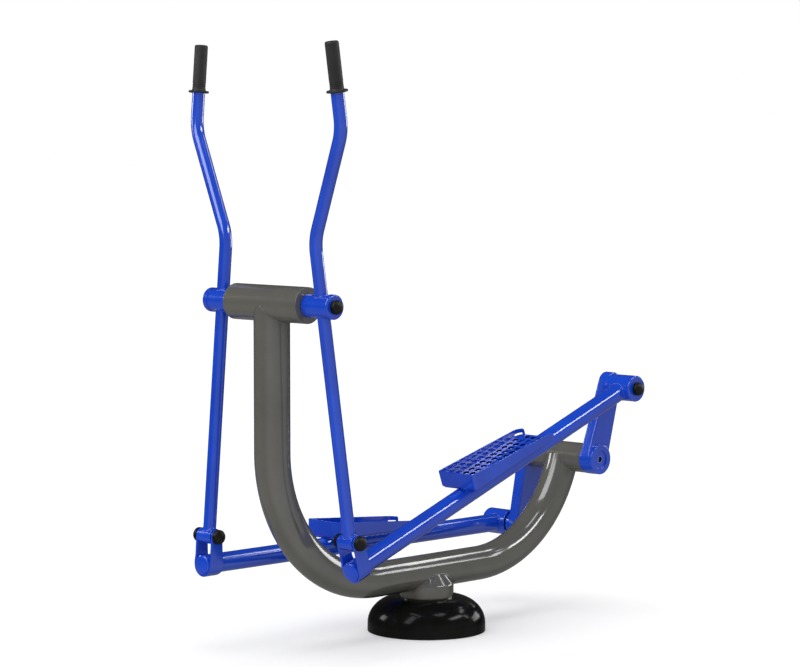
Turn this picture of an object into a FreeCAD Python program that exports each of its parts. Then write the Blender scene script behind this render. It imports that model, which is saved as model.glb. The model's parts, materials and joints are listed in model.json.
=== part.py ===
import FreeCAD, Part
import math
import os
import Sketcher

# Outdoor elliptical walker, millimetres.
# Frame: +X towards the handles, +Y to the user's left, +Z up.
# Origin: centre of the base on the ground.

V = FreeCAD.Vector
doc = FreeCAD.newDocument("walker")

# ---------------------------------------------------------------- driving dimensions
DIMS = [
    ("main_rad", 44.45), ("main_wall", 4.0), ("mast_x", 542.5), ("bar_z", 868.5),
    ("run_z", 152.2), ("bend_rad", 352.5), ("axle_x", -531.7), ("axle_z", 407.5),
    ("bar_half", 128.0), ("plate_thk", 6.0),
    ("housing_rad", 39.5), ("housing_bore", 31.0), ("housing_half", 92.5),
    ("stub_rad", 70.0), ("stub_wall", 5.0), ("shoulder_z", 121.0), ("shoulder_top", 149.0), ("shoulder_rad", 47.0),
    ("flange_rad", 135.0), ("flange_thk", 12.0), ("anchor_pcd", 220.0), ("anchor_hole", 9.0),
    ("dome_rad", 152.0), ("dome_rim", 20.0), ("dome_top", 90.0), ("dome_eye", 71.5), ("dome_wall", 3.0),
    ("hshaft_rad", 12.5), ("hshaft_half", 201.0), ("sleeve_rad", 28.75), ("sleeve_bore", 23.5),
    ("sleeve_in", 130.0), ("sleeve_out", 203.5), ("collar_rad", 30.15), ("collar_out", 219.5), ("collar_bore", 16.0),
    ("lever_rad", 16.0), ("lever_wall", 2.5), ("lever_y", 176.3), ("flare_y", 308.8),
    ("knee_low", 158.3), ("knee_high", 421.7), ("lever_top", 630.9), ("knee_rad", 130.0),
    ("grip_low", 512.0), ("grip_rad", 16.6), ("grip_bore", 12.5), ("grip_flange", 25.5),
    ("lever_len", 582.0), ("tee_rad", 19.5), ("tee_bore", 16.0), ("tee_half", 22.8),
    ("pin_rad", 7.5), ("arm_rad", 24.15), ("arm_wall", 3.0), ("arm_front", 1098.0),
    ("pivot_u", 1074.3), ("pivot_w", 69.8), ("clevis_thk", 6.0), ("clevis_rear", 1053.0), ("clevis_front", 1097.0),
    ("hub_rad", 34.6), ("hub_bore", 31.0), ("hub_in", 139.0), ("hub_out", 218.5), ("hub_wall", 6.0),
    ("crank_len", 198.0), ("crank_root", 40.4), ("crank_tip", 30.0), ("crank_reach", 209.5), ("crank_in", 94.0), ("crank_out", 126.5),
    ("pin_boss", 30.0),
    ("boss_rad", 40.0), ("boss_in", 93.5), ("boss_out", 137.0), ("axle_rad", 15.0),
    ("cpin_rad", 10.0), ("cpin_out", 206.0), ("recess_rad", 24.0), ("recess_deep", 4.0),
    ("tray_rear", 366.0), ("tray_front", 681.0), ("tray_left", -61.0), ("tray_right", 61.0),
    ("tray_low", 25.65), ("tray_sheet", 3.0), ("tray_high", 68.9), ("tray_tail", 45.0),
    ("tray_hole", 8.0), ("tray_pitch", 22.0), ("cap_rad", 16.5), ("ear_cap_rad", 18.0), ("relief_high", 8.85), ("backing_thk", 3.0),
]
sheet = doc.addObject("Spreadsheet::Sheet", "dims")
for row, (alias, number) in enumerate(DIMS, start=1):
    sheet.set("A%d" % row, alias)
    sheet.set("B%d" % row, str(number))
    sheet.setAlias("B%d" % row, alias)
doc.recompute()


class Q:
    """A number together with the sheet expression that gives it."""

    def __init__(self, value, text):
        self.v = float(value)
        self.t = text

    def _w(self, other):
        return other if isinstance(other, Q) else Q(other, "(%.6f)" % other)

    def __add__(self, o):
        o = self._w(o)
        return Q(self.v + o.v, "(%s + %s)" % (self.t, o.t))

    def __radd__(self, o):
        return self._w(o) + self

    def __sub__(self, o):
        o = self._w(o)
        return Q(self.v - o.v, "(%s - %s)" % (self.t, o.t))

    def __rsub__(self, o):
        return self._w(o) - self

    def __mul__(self, o):
        o = self._w(o)
        return Q(self.v * o.v, "(%s * %s)" % (self.t, o.t))

    __rmul__ = __mul__

    def __neg__(self):
        return Q(-self.v, "(0 - %s)" % self.t)


D = {alias: Q(sheet.get("B%d" % row), "dims.%s" % alias) for row, (alias, number) in enumerate(DIMS, start=1)}


def num(x):
    return x.v if isinstance(x, Q) else float(x)


def bind(obj, prop, x):
    if isinstance(x, Q):
        obj.setExpression(prop, x.t)
    else:
        setattr(obj, prop, x)


AXES = {"Z": FreeCAD.Rotation(), "Y": FreeCAD.Rotation(V(1, 0, 0), -90), "X": FreeCAD.Rotation(V(0, 1, 0), 90)}
serial = [0]


def fresh(stem):
    serial[0] += 1
    return "%s_%03d" % (stem, serial[0])


def place(obj, pos, rot=None):
    """Set a placement whose base follows the sheet."""
    obj.Placement = FreeCAD.Placement(V(num(pos[0]), num(pos[1]), num(pos[2])), rot or FreeCAD.Rotation())
    for name, c in zip("xyz", pos):
        if isinstance(c, Q):
            obj.setExpression("Placement.Base.%s" % name, c.t)


def cylinder(rad, start, end, axis="Y", at=(0, 0)):
    """A cylinder from start to end along axis; at gives the other two coordinates in order."""
    o = doc.addObject("Part::Cylinder", fresh("cyl"))
    bind(o, "Radius", rad)
    length = end - start
    bind(o, "Height", length)
    pos = {"Y": (at[0], start, at[1]), "X": (start, at[0], at[1]), "Z": (at[0], at[1], start)}[axis]
    place(o, pos, AXES[axis])
    return o


def cone(r1, r2, start, end, at=(0, 0)):
    o = doc.addObject("Part::Cone", fresh("cone"))
    bind(o, "Radius1", r1)
    bind(o, "Radius2", r2)
    bind(o, "Height", end - start)
    place(o, (at[0], at[1], start))
    return o


def box(x0, x1, y0, y1, z0, z1):
    o = doc.addObject("Part::Box", fresh("box"))
    bind(o, "Length", x1 - x0)
    bind(o, "Width", y1 - y0)
    bind(o, "Height", z1 - z0)
    place(o, (x0, y0, z0))
    return o


def fuse(items):
    o = doc.addObject("Part::MultiFuse", fresh("fuse"))
    o.Shapes = items
    o.Refine = True
    return o


def cut(base, tools):
    tool = tools[0] if len(tools) == 1 else fuse(tools)
    o = doc.addObject("Part::Cut", fresh("cut"))
    o.Base = base
    o.Tool = tool
    return o


def common(a, b):
    o = doc.addObject("Part::Common", fresh("common"))
    o.Base = a
    o.Tool = b
    return o


def group(items):
    o = doc.addObject("Part::Compound", fresh("group"))
    o.Links = items
    return o


def plane_of(body, role):
    for f in body.Origin.OriginFeatures:
        if f.Role == role:
            return f


def outline(body, role, points, offset=None, arcs=None):
    """A closed sketch through points (numbers or sheet values); arcs maps a corner to its radius."""
    sk = body.newObject("Sketcher::SketchObject", fresh("sketch"))
    sk.AttachmentSupport = [(plane_of(body, role), "")]
    sk.MapMode = "FlatFace"
    if offset is not None:
        sk.AttachmentOffset = FreeCAD.Placement(V(0, 0, num(offset)), FreeCAD.Rotation())
        if isinstance(offset, Q):
            sk.setExpression("AttachmentOffset.Base.z", offset.t)
    n = len(points)
    for i in range(n):
        a, b = points[i], points[(i + 1) % n]
        sk.addGeometry(Part.LineSegment(V(num(a[0]), num(a[1]), 0), V(num(b[0]), num(b[1]), 0)), False)
    for i in range(n):
        sk.addConstraint(Sketcher.Constraint("Coincident", i, 2, (i + 1) % n, 1))
    for i, p in enumerate(points):
        for kind, c in (("DistanceX", p[0]), ("DistanceY", p[1])):
            value = num(c)
            if abs(value) < 1e-9 and not isinstance(c, Q):
                if kind == "DistanceX":
                    sk.addConstraint(Sketcher.Constraint("PointOnObject", i, 1, -2))
                else:
                    sk.addConstraint(Sketcher.Constraint("PointOnObject", i, 1, -1))
                continue
            k = sk.addConstraint(Sketcher.Constraint(kind, -1, 1, i, 1, value))
            if isinstance(c, Q):
                sk.setExpression("Constraints[%d]" % k, c.t)
    return sk


def circles(body, role, items, offset=None):
    """Circles (x, y, radius) in one sketch."""
    sk = body.newObject("Sketcher::SketchObject", fresh("sketch"))
    sk.AttachmentSupport = [(plane_of(body, role), "")]
    sk.MapMode = "FlatFace"
    if offset is not None:
        sk.AttachmentOffset = FreeCAD.Placement(V(0, 0, num(offset)), FreeCAD.Rotation())
        if isinstance(offset, Q):
            sk.setExpression("AttachmentOffset.Base.z", offset.t)
    for x, y, r in items:
        g = sk.addGeometry(Part.Circle(V(num(x), num(y), 0), V(0, 0, 1), num(r)), False)
        k = sk.addConstraint(Sketcher.Constraint("Radius", g, num(r)))
        if isinstance(r, Q):
            sk.setExpression("Constraints[%d]" % k, r.t)
        for kind, c in (("DistanceX", x), ("DistanceY", y)):
            if abs(num(c)) < 1e-9 and not isinstance(c, Q):
                sk.addConstraint(Sketcher.Constraint("PointOnObject", g, 3, -2 if kind == "DistanceX" else -1))
                continue
            k = sk.addConstraint(Sketcher.Constraint(kind, -1, 1, g, 3, num(c)))
            if isinstance(c, Q):
                sk.setExpression("Constraints[%d]" % k, c.t)
    return sk


def new_body(stem):
    return doc.addObject("PartDesign::Body", fresh(stem))


def turned(points, stem="turned"):
    """A body of revolution about its own Z; points are (radius, height)."""
    body = new_body(stem)
    sk = outline(body, "XZ_Plane", points)
    rev = body.newObject("PartDesign::Revolution", fresh("rev"))
    rev.Profile = sk
    rev.ReferenceAxis = (sk, ["V_Axis"])
    rev.Angle = 360.0
    body.Tip = rev
    return body


def padded(role, points, length, stem="padded", offset=None):
    body = new_body(stem)
    sk = outline(body, role, points, offset)
    pad = body.newObject("PartDesign::Pad", fresh("pad"))
    pad.Profile = sk
    bind(pad, "Length", length)
    body.Tip = pad
    return body


def ring_body(outer, inner, length, stem="ring"):
    """A ring about its own Z from 0 to length."""
    return turned([(inner, 0), (outer, 0), (outer, length), (inner, length)], stem)


ROT_Y = AXES["Y"]            # own Z to +Y
ROT_YN = FreeCAD.Rotation(V(1, 0, 0), 90)   # own Z to -Y

parts = {}


def keep(name, obj, placement=None):
    """Register a finished sub-part under its own label."""
    if placement is not None:
        if obj.ExpressionEngine or obj.TypeId == "PartDesign::Body":
            obj = group([obj])
        obj.Placement = placement.multiply(obj.Placement)
    obj.Label = name
    parts[name] = obj
    return obj


# ---------------------------------------------------------------- linkage at rest
H = (D["mast_x"].v, D["bar_z"].v)
A = (D["axle_x"].v, D["axle_z"].v)
LEAN_LEFT = 8.96       # left lever, degrees, top towards the front
CRANK_LEAN = 14.23     # left crank, degrees, leaning to the rear


def lever_foot(deg):
    r = math.radians(deg)
    return (H[0] - D["lever_len"].v * math.sin(r), H[1] - D["lever_len"].v * math.cos(r))


def crank_pin(side):
    r = math.radians(CRANK_LEAN)
    return (A[0] - side * D["crank_len"].v * math.sin(r), A[1] + side * D["crank_len"].v * math.cos(r))


def dist(p, q):
    return math.hypot(p[0] - q[0], p[1] - q[1])


ARM_LEN = dist(lever_foot(LEAN_LEFT), crank_pin(1))
lo, hi = -15.0, 5.0
for _ in range(60):
    mid = 0.5 * (lo + hi)
    if dist(lever_foot(mid), crank_pin(-1)) > ARM_LEN:
        lo = mid
    else:
        hi = mid
LEAN_RIGHT = 0.5 * (lo + hi)
# the tube runs below the line that joins the two pivots of the arm
PIVOT_U = math.sqrt(ARM_LEN ** 2 - D["pivot_w"].v ** 2)
sheet.set("B%d" % (1 + [a for a, _ in DIMS].index("pivot_u")), "%.6f" % PIVOT_U)
doc.recompute()
D["pivot_u"] = Q(PIVOT_U, "dims.pivot_u")


def arm_angle(foot, pin):
    line = math.atan2(foot[1] - pin[1], foot[0] - pin[0])
    return line - math.asin(D["pivot_w"].v / ARM_LEN)


SIDES = {
    "left": dict(s=1.0, lean=LEAN_LEFT, crank_drift=-14.3),    # the blade tip stands a little off the pin
    "right": dict(s=-1.0, lean=LEAN_RIGHT, crank_drift=0.0),
}
for side, k in SIDES.items():
    k["foot"] = lever_foot(k["lean"])
    k["pin"] = crank_pin(k["s"])
    k["tilt"] = arm_angle(k["foot"], k["pin"])
    k["lever_frame"] = FreeCAD.Placement(V(H[0], 0, H[1]), FreeCAD.Rotation(V(0, 1, 0), k["lean"]))
    k["arm_frame"] = FreeCAD.Placement(V(k["pin"][0], 0, k["pin"][1]),
                                       FreeCAD.Rotation(V(0, 1, 0), -math.degrees(k["tilt"])))
    k["crank_frame"] = FreeCAD.Placement(V(A[0], 0, A[1]),
                                         FreeCAD.Rotation(V(0, 1, 0), -CRANK_LEAN + (0 if k["s"] > 0 else 180)))

# ---------------------------------------------------------------- main tube
RISE = math.acos(1.0 - (A[1] - D["run_z"].v) / D["bend_rad"].v)      # angle turned by the rear bend
REAR_X = A[0] + D["bend_rad"].v * math.sin(RISE)                      # start of the rear bend
FRONT_X = D["mast_x"].v - D["bend_rad"].v                             # start of the front bend
body = new_body("main")
profile = circles(body, "XY_Plane", [(D["mast_x"], 0, D["main_rad"]), (D["mast_x"], 0, D["main_rad"] - D["main_wall"])],
                  D["bar_z"])
spine = body.newObject("Sketcher::SketchObject", "main_spine")
spine.AttachmentSupport = [(plane_of(body, "XZ_Plane"), "")]
spine.MapMode = "FlatFace"
R = D["bend_rad"].v
zb = D["run_z"].v
spine.addGeometry(Part.LineSegment(V(H[0], H[1], 0), V(H[0], zb + R, 0)), False)
spine.addGeometry(Part.ArcOfCircle(Part.Circle(V(FRONT_X, zb + R, 0), V(0, 0, 1), R), 1.5 * math.pi, 2 * math.pi), False)
spine.addGeometry(Part.LineSegment(V(FRONT_X, zb, 0), V(REAR_X, zb, 0)), False)
spine.addGeometry(Part.ArcOfCircle(Part.Circle(V(REAR_X, zb + R, 0), V(0, 0, 1), R), 1.5 * math.pi - RISE, 1.5 * math.pi), False)
SC = Sketcher.Constraint
spine.addConstraint(SC("Vertical", 0))
spine.addConstraint(SC("Tangent", 0, 2, 1, 2))
spine.addConstraint(SC("Tangent", 1, 1, 2, 1))
spine.addConstraint(SC("Horizontal", 2))
spine.addConstraint(SC("Tangent", 2, 2, 3, 2))
spine.addConstraint(SC("Equal", 1, 3))
for kind, g, p, q in (("DistanceX", 0, 1, D["mast_x"]), ("DistanceY", 0, 1, D["bar_z"]), ("DistanceY", 2, 1, D["run_z"]),
                      ("DistanceX", 3, 1, D["axle_x"]), ("DistanceY", 3, 1, D["axle_z"])):
    c = spine.addConstraint(SC(kind, -1, 1, g, p, q.v))
    spine.setExpression("Constraints[%d]" % c, q.t)
c = spine.addConstraint(SC("Radius", 1, D["bend_rad"].v))
spine.setExpression("Constraints[%d]" % c, D["bend_rad"].t)
doc.recompute()
pipe = body.newObject("PartDesign::AdditivePipe", "main_pipe")
pipe.Profile = profile
pipe.Spine = (spine, ["Edge1", "Edge2", "Edge3", "Edge4"])
pipe.Mode = "Standard"
pipe.Transition = "Transformed"
body.Tip = pipe
doc.recompute()
main_raw = body
keep("main_tube", cut(main_raw, [
    cylinder(D["main_rad"], -(D["bar_half"]), D["bar_half"], "Y", (D["mast_x"], D["bar_z"])),
    cylinder(D["housing_rad"], -(D["housing_half"]), D["housing_half"], "Y", (D["axle_x"], D["axle_z"])),
]))

# ---------------------------------------------------------------- crossbar, housing, base
keep("crossbar_tube", cut(
    cylinder(D["main_rad"], -(D["bar_half"] - D["plate_thk"]), D["bar_half"] - D["plate_thk"], "Y", (D["mast_x"], D["bar_z"])),
    [cylinder(D["main_rad"] - D["main_wall"], -(D["bar_half"]), D["bar_half"], "Y", (D["mast_x"], D["bar_z"]))]))
plates = []
for s in (1, -1):
    b = ring_body(D["main_rad"], D["hshaft_rad"], D["plate_thk"], "bar_plate")
    place(b, (D["mast_x"], s * (D["bar_half"] - D["plate_thk"]), D["bar_z"]), ROT_Y if s > 0 else ROT_YN)
    plates.append(b)
keep("crossbar_end_plates", group(plates))
keep("rear_axle_housing", cut(
    cylinder(D["housing_rad"], -(D["housing_half"]), D["housing_half"], "Y", (D["axle_x"], D["axle_z"])),
    [cylinder(D["housing_bore"], -(D["housing_half"] + 1), D["housing_half"] + 1, "Y", (D["axle_x"], D["axle_z"]))]))

post = turned([
    (D["stub_rad"] - D["stub_wall"], D["flange_thk"]), (D["stub_rad"], D["flange_thk"]), (D["stub_rad"], D["shoulder_z"]),
    (D["shoulder_rad"], D["shoulder_top"]), (D["shoulder_rad"] - D["stub_wall"], D["shoulder_top"]),
    (D["stub_rad"] - D["stub_wall"], D["shoulder_z"])], "post")
keep("stub_post", cut(post, [cylinder(D["main_rad"], -200, 200, "X", (0, D["run_z"]))]))

flange = new_body("flange")
sk = circles(flange, "XY_Plane", [(0, 0, D["flange_rad"])])
pad = flange.newObject("PartDesign::Pad", "flange_pad")
pad.Profile = sk
bind(pad, "Length", D["flange_thk"])
flange.Tip = pad
doc.recompute()
sk = circles(flange, "XY_Plane", [(0.5 * D["anchor_pcd"], 0, D["anchor_hole"])])
hole = flange.newObject("PartDesign::Pocket", "anchor_pocket")
hole.Profile = sk
hole.Type = "ThroughAll"
hole.Reversed = True
flange.Tip = hole
doc.recompute()
pattern = flange.newObject("PartDesign::PolarPattern", "anchor_pattern")
pattern.Originals = [hole]
pattern.Axis = (sk, ["N_Axis"])
pattern.Angle = 360.0
pattern.Occurrences = 4
flange.Tip = pattern
doc.recompute()
keep("base_flange", flange)

gussets = []
for i in range(4):
    g = padded("XZ_Plane", [(D["stub_rad"], D["flange_thk"]), (D["flange_rad"] - 10, D["flange_thk"]),
                            (D["flange_rad"] - 10, D["flange_thk"] + 8), (D["stub_rad"], 68)], 8, "gusset", -4)
    g.Placement = FreeCAD.Placement(V(0, 0, 0), FreeCAD.Rotation(V(0, 0, 1), 45 + 90 * i))
    gussets.append(g)
keep("base_gussets", group(gussets))

# the cover: a straight rim, then a quarter of an ellipse up to the eye round the post
dr, dz0, dz1, de, dw = (D[k].v for k in ("dome_rad", "dome_rim", "dome_top", "dome_eye", "dome_wall"))


def dome_edge(off):
    a, b = dr - de - off * 0.0 - off, dz1 - dz0 - off
    ell = Part.Ellipse(V(de, 0, dz0), a + 0.0, b)
    if a >= b:
        ell = Part.Ellipse(V(de + a, 0, dz0), V(de, 0, dz0 + b), V(de, 0, dz0))
    arc = Part.ArcOfEllipse(ell, 0, 0.5 * math.pi)
    return arc.toShape()


outer, inner = dome_edge(0.0), dome_edge(dw)


def ends(e):
    return sorted([v.Point for v in e.Vertexes], key=lambda p: p.z)


o0, o1 = ends(outer)
i0, i1 = ends(inner)
wire = Part.Wire(Part.__sortEdges__([
    outer, Part.makeLine(o1, i1), inner, Part.makeLine(i0, V(i0.x, 0, 0)), Part.makeLine(V(i0.x, 0, 0), V(o0.x, 0, 0)),
    Part.makeLine(V(o0.x, 0, 0), o0)]))
dome = doc.addObject("Part::Feature", "dome")
dome.Shape = Part.Face(wire).revolve(V(0, 0, 0), V(0, 0, 1), 360)
keep("base_dome_cover", dome)

# ---------------------------------------------------------------- fixed handle shaft
keep("handle_pivot_shaft", cylinder(D["hshaft_rad"], -(D["hshaft_half"]), D["hshaft_half"], "Y", (D["mast_x"], D["bar_z"])))
inner_rings, spacers, washers, bolts = [], [], [], []
for s in (1, -1):
    rot = ROT_Y if s > 0 else ROT_YN
    for y in (133.0, 188.0):
        b = ring_body(Q(17.1, "17.1"), D["hshaft_rad"], Q(12, "12"), "ring_in")
        place(b, (D["mast_x"], s * y, D["bar_z"]), rot)
        inner_rings.append(b)
    b = ring_body(Q(16.8, "16.8"), D["hshaft_rad"], Q(5, "5"), "spacer")
    place(b, (D["mast_x"], s * D["bar_half"], D["bar_z"]), rot)
    spacers.append(b)
    b = ring_body(Q(16.8, "16.8"), D["hshaft_rad"], Q(43, "43"), "spacer")
    place(b, (D["mast_x"], s * 145.0, D["bar_z"]), rot)
    spacers.append(b)
    b = ring_body(Q(14.5, "14.5"), Q(6.1, "6.1"), Q(2.5, "2.5"), "washer")
    place(b, (D["mast_x"], s * D["hshaft_half"], D["bar_z"]), rot)
    washers.append(b)
    hexa = padded("XY_Plane", [(9.2 * math.cos(math.radians(60 * i)), 9.2 * math.sin(math.radians(60 * i))) for i in range(6)],
                  7.5, "hex", 0)
    place(hexa, (D["mast_x"], s * (D["hshaft_half"] + 2.5), D["bar_z"]), rot)
    shank = cylinder(6.0, 0, 22.5, "Z")
    shank.Placement = FreeCAD.Placement(V(H[0], s * (D["hshaft_half"].v - 20), H[1]), rot)
    bolts.append(fuse([hexa, shank]))
keep("handle_bearing_inner_rings", group(inner_rings))
keep("handle_shaft_spacers", group(spacers))
keep("handle_shaft_washers", group(washers))
keep("handle_shaft_bolts", group(bolts))
# the shaft ends are drilled for the bolts
shaft = parts.pop("handle_pivot_shaft")
shaft.Label = "shaft_raw"
keep("handle_pivot_shaft", cut(shaft, [
    cylinder(6.0, D["hshaft_half"] - 20, D["hshaft_half"] + 1, "Y", (D["mast_x"], D["bar_z"])),
    cylinder(6.0, -(D["hshaft_half"] + 1), -(D["hshaft_half"] - 20), "Y", (D["mast_x"], D["bar_z"]))]))

# ---------------------------------------------------------------- rear axle
outer_rings, inner_rings = [], []
for s in (1, -1):
    rot = ROT_Y if s > 0 else ROT_YN
    b = ring_body(D["housing_bore"], Q(21.4, "21.4"), Q(16, "16"), "ring_out")
    place(b, (D["axle_x"], s * 72.0, D["axle_z"]), rot)
    outer_rings.append(b)
    b = ring_body(Q(20.9, "20.9"), D["axle_rad"], Q(16, "16"), "ring_in")
    place(b, (D["axle_x"], s * 72.0, D["axle_z"]), rot)
    inner_rings.append(b)
keep("rear_bearing_outer_rings", group(outer_rings))
keep("rear_bearing_inner_rings", group(inner_rings))
spacers = [cut(cylinder(18.5, a, b, "Y", (D["axle_x"], D["axle_z"])),
               [cylinder(D["axle_rad"], a - 1, b + 1, "Y", (D["axle_x"], D["axle_z"]))])
           for a, b in ((-72, 72), (88, 93.5), (-93.5, -88))]
keep("axle_spacers", group(spacers))
AX_END = D["boss_out"] - D["recess_deep"]
keep("crank_axle", cut(cylinder(D["axle_rad"], -AX_END, AX_END, "Y", (D["axle_x"], D["axle_z"])), [
    cylinder(8.0, AX_END - 30, AX_END + 1, "Y", (D["axle_x"], D["axle_z"])),
    cylinder(8.0, -(AX_END + 1), -(AX_END - 30), "Y", (D["axle_x"], D["axle_z"]))]))
bolts = []
for s in (1, -1):
    b = turned([(0, -25), (7.9, -25), (7.9, -9), (7.9, -3.2), (7.0, -2.4), (4.6, -2.4), (4.2, -8), (0, -8)], "axle_bolt")
    place(b, (D["axle_x"], s * AX_END, D["axle_z"]), ROT_Y if s > 0 else ROT_YN)
    bolts.append(b)
keep("crank_axle_bolts", group(bolts))

for side, k in SIDES.items():
    s, frame = k["s"], k["crank_frame"]
    # local frame: axle at the origin, the pin straight up, outward is +Y on the left and -Y on the right
    f = 1.0 if s > 0 else -1.0          # the right frame is turned half a turn, Y stays
    yin, yout = D["crank_in"], D["crank_out"]
    ends_y = (yin, yout) if s > 0 else (-yout, -yin)
    boss_y = (D["boss_in"], D["boss_out"]) if s > 0 else (-(D["boss_out"]), -(D["boss_in"]))
    # tapering blade: both edges are tangent to the root circle and to the smaller tip circle
    r0, r1, tipx, tipz = D["crank_root"].v, D["crank_tip"].v, k["crank_drift"], D["crank_reach"].v
    head_dir, spread = math.atan2(tipz, tipx), math.acos((r0 - r1) / math.hypot(tipx, tipz))
    quad = []
    for e, first in ((1, True), (-1, False)):
        nx, nz = math.cos(head_dir + e * spread), math.sin(head_dir + e * spread)
        pair = [(r0 * nx, r0 * nz), (tipx + r1 * nx, tipz + r1 * nz)]
        quad += pair if first else pair[::-1]
    blade = padded("XZ_Plane", quad, ends_y[1] - ends_y[0], "blade", -(ends_y[1]))
    root = cylinder(D["crank_root"], ends_y[0], ends_y[1], "Y", (0, 0))
    head = cylinder(D["crank_tip"], ends_y[0], ends_y[1], "Y", (tipx, D["crank_reach"]))
    boss = cylinder(D["boss_rad"], boss_y[0], boss_y[1], "Y", (0, 0))
    pin_y = (D["crank_out"] - 1, D["boss_out"]) if s > 0 else (-(D["boss_out"]), -(D["crank_out"]) + 1)
    pin_boss = cylinder(D["pin_boss"], pin_y[0], pin_y[1], "Y", (0, D["crank_len"]))
    whole = fuse([blade, root, head, boss, pin_boss])
    rec = cylinder(D["recess_rad"], D["boss_out"] - D["recess_deep"], D["boss_out"] + 1, "Y", (0, 0)) if s > 0 else \
        cylinder(D["recess_rad"], -(D["boss_out"] + 1), -(D["boss_out"] - D["recess_deep"]), "Y", (0, 0))
    bore = cylinder(D["axle_rad"], boss_y[0] - 1, boss_y[1] + 1, "Y", (0, 0))
    pinbore = cylinder(D["cpin_rad"], boss_y[0] - 1, boss_y[1] + 1, "Y", (0, D["crank_len"]))
    keep(side + "_crank_arm", cut(whole, [rec, bore, pinbore]), frame)
    pin = turned([(0, 0), (D["cpin_rad"], 0), (D["cpin_rad"], D["cpin_out"] - D["crank_in"] - 2),
                  (D["cpin_rad"] - 2, D["cpin_out"] - D["crank_in"]), (0, D["cpin_out"] - D["crank_in"])], "crank_pin")
    place(pin, (0, s * D["crank_in"], D["crank_len"]), ROT_Y if s > 0 else ROT_YN)
    keep(side + "_crank_pin", pin, frame)


# ---------------------------------------------------------------- levers
def mirrored_range(s, a, b):
    return (a, b) if s > 0 else (-b, -a)


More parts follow.
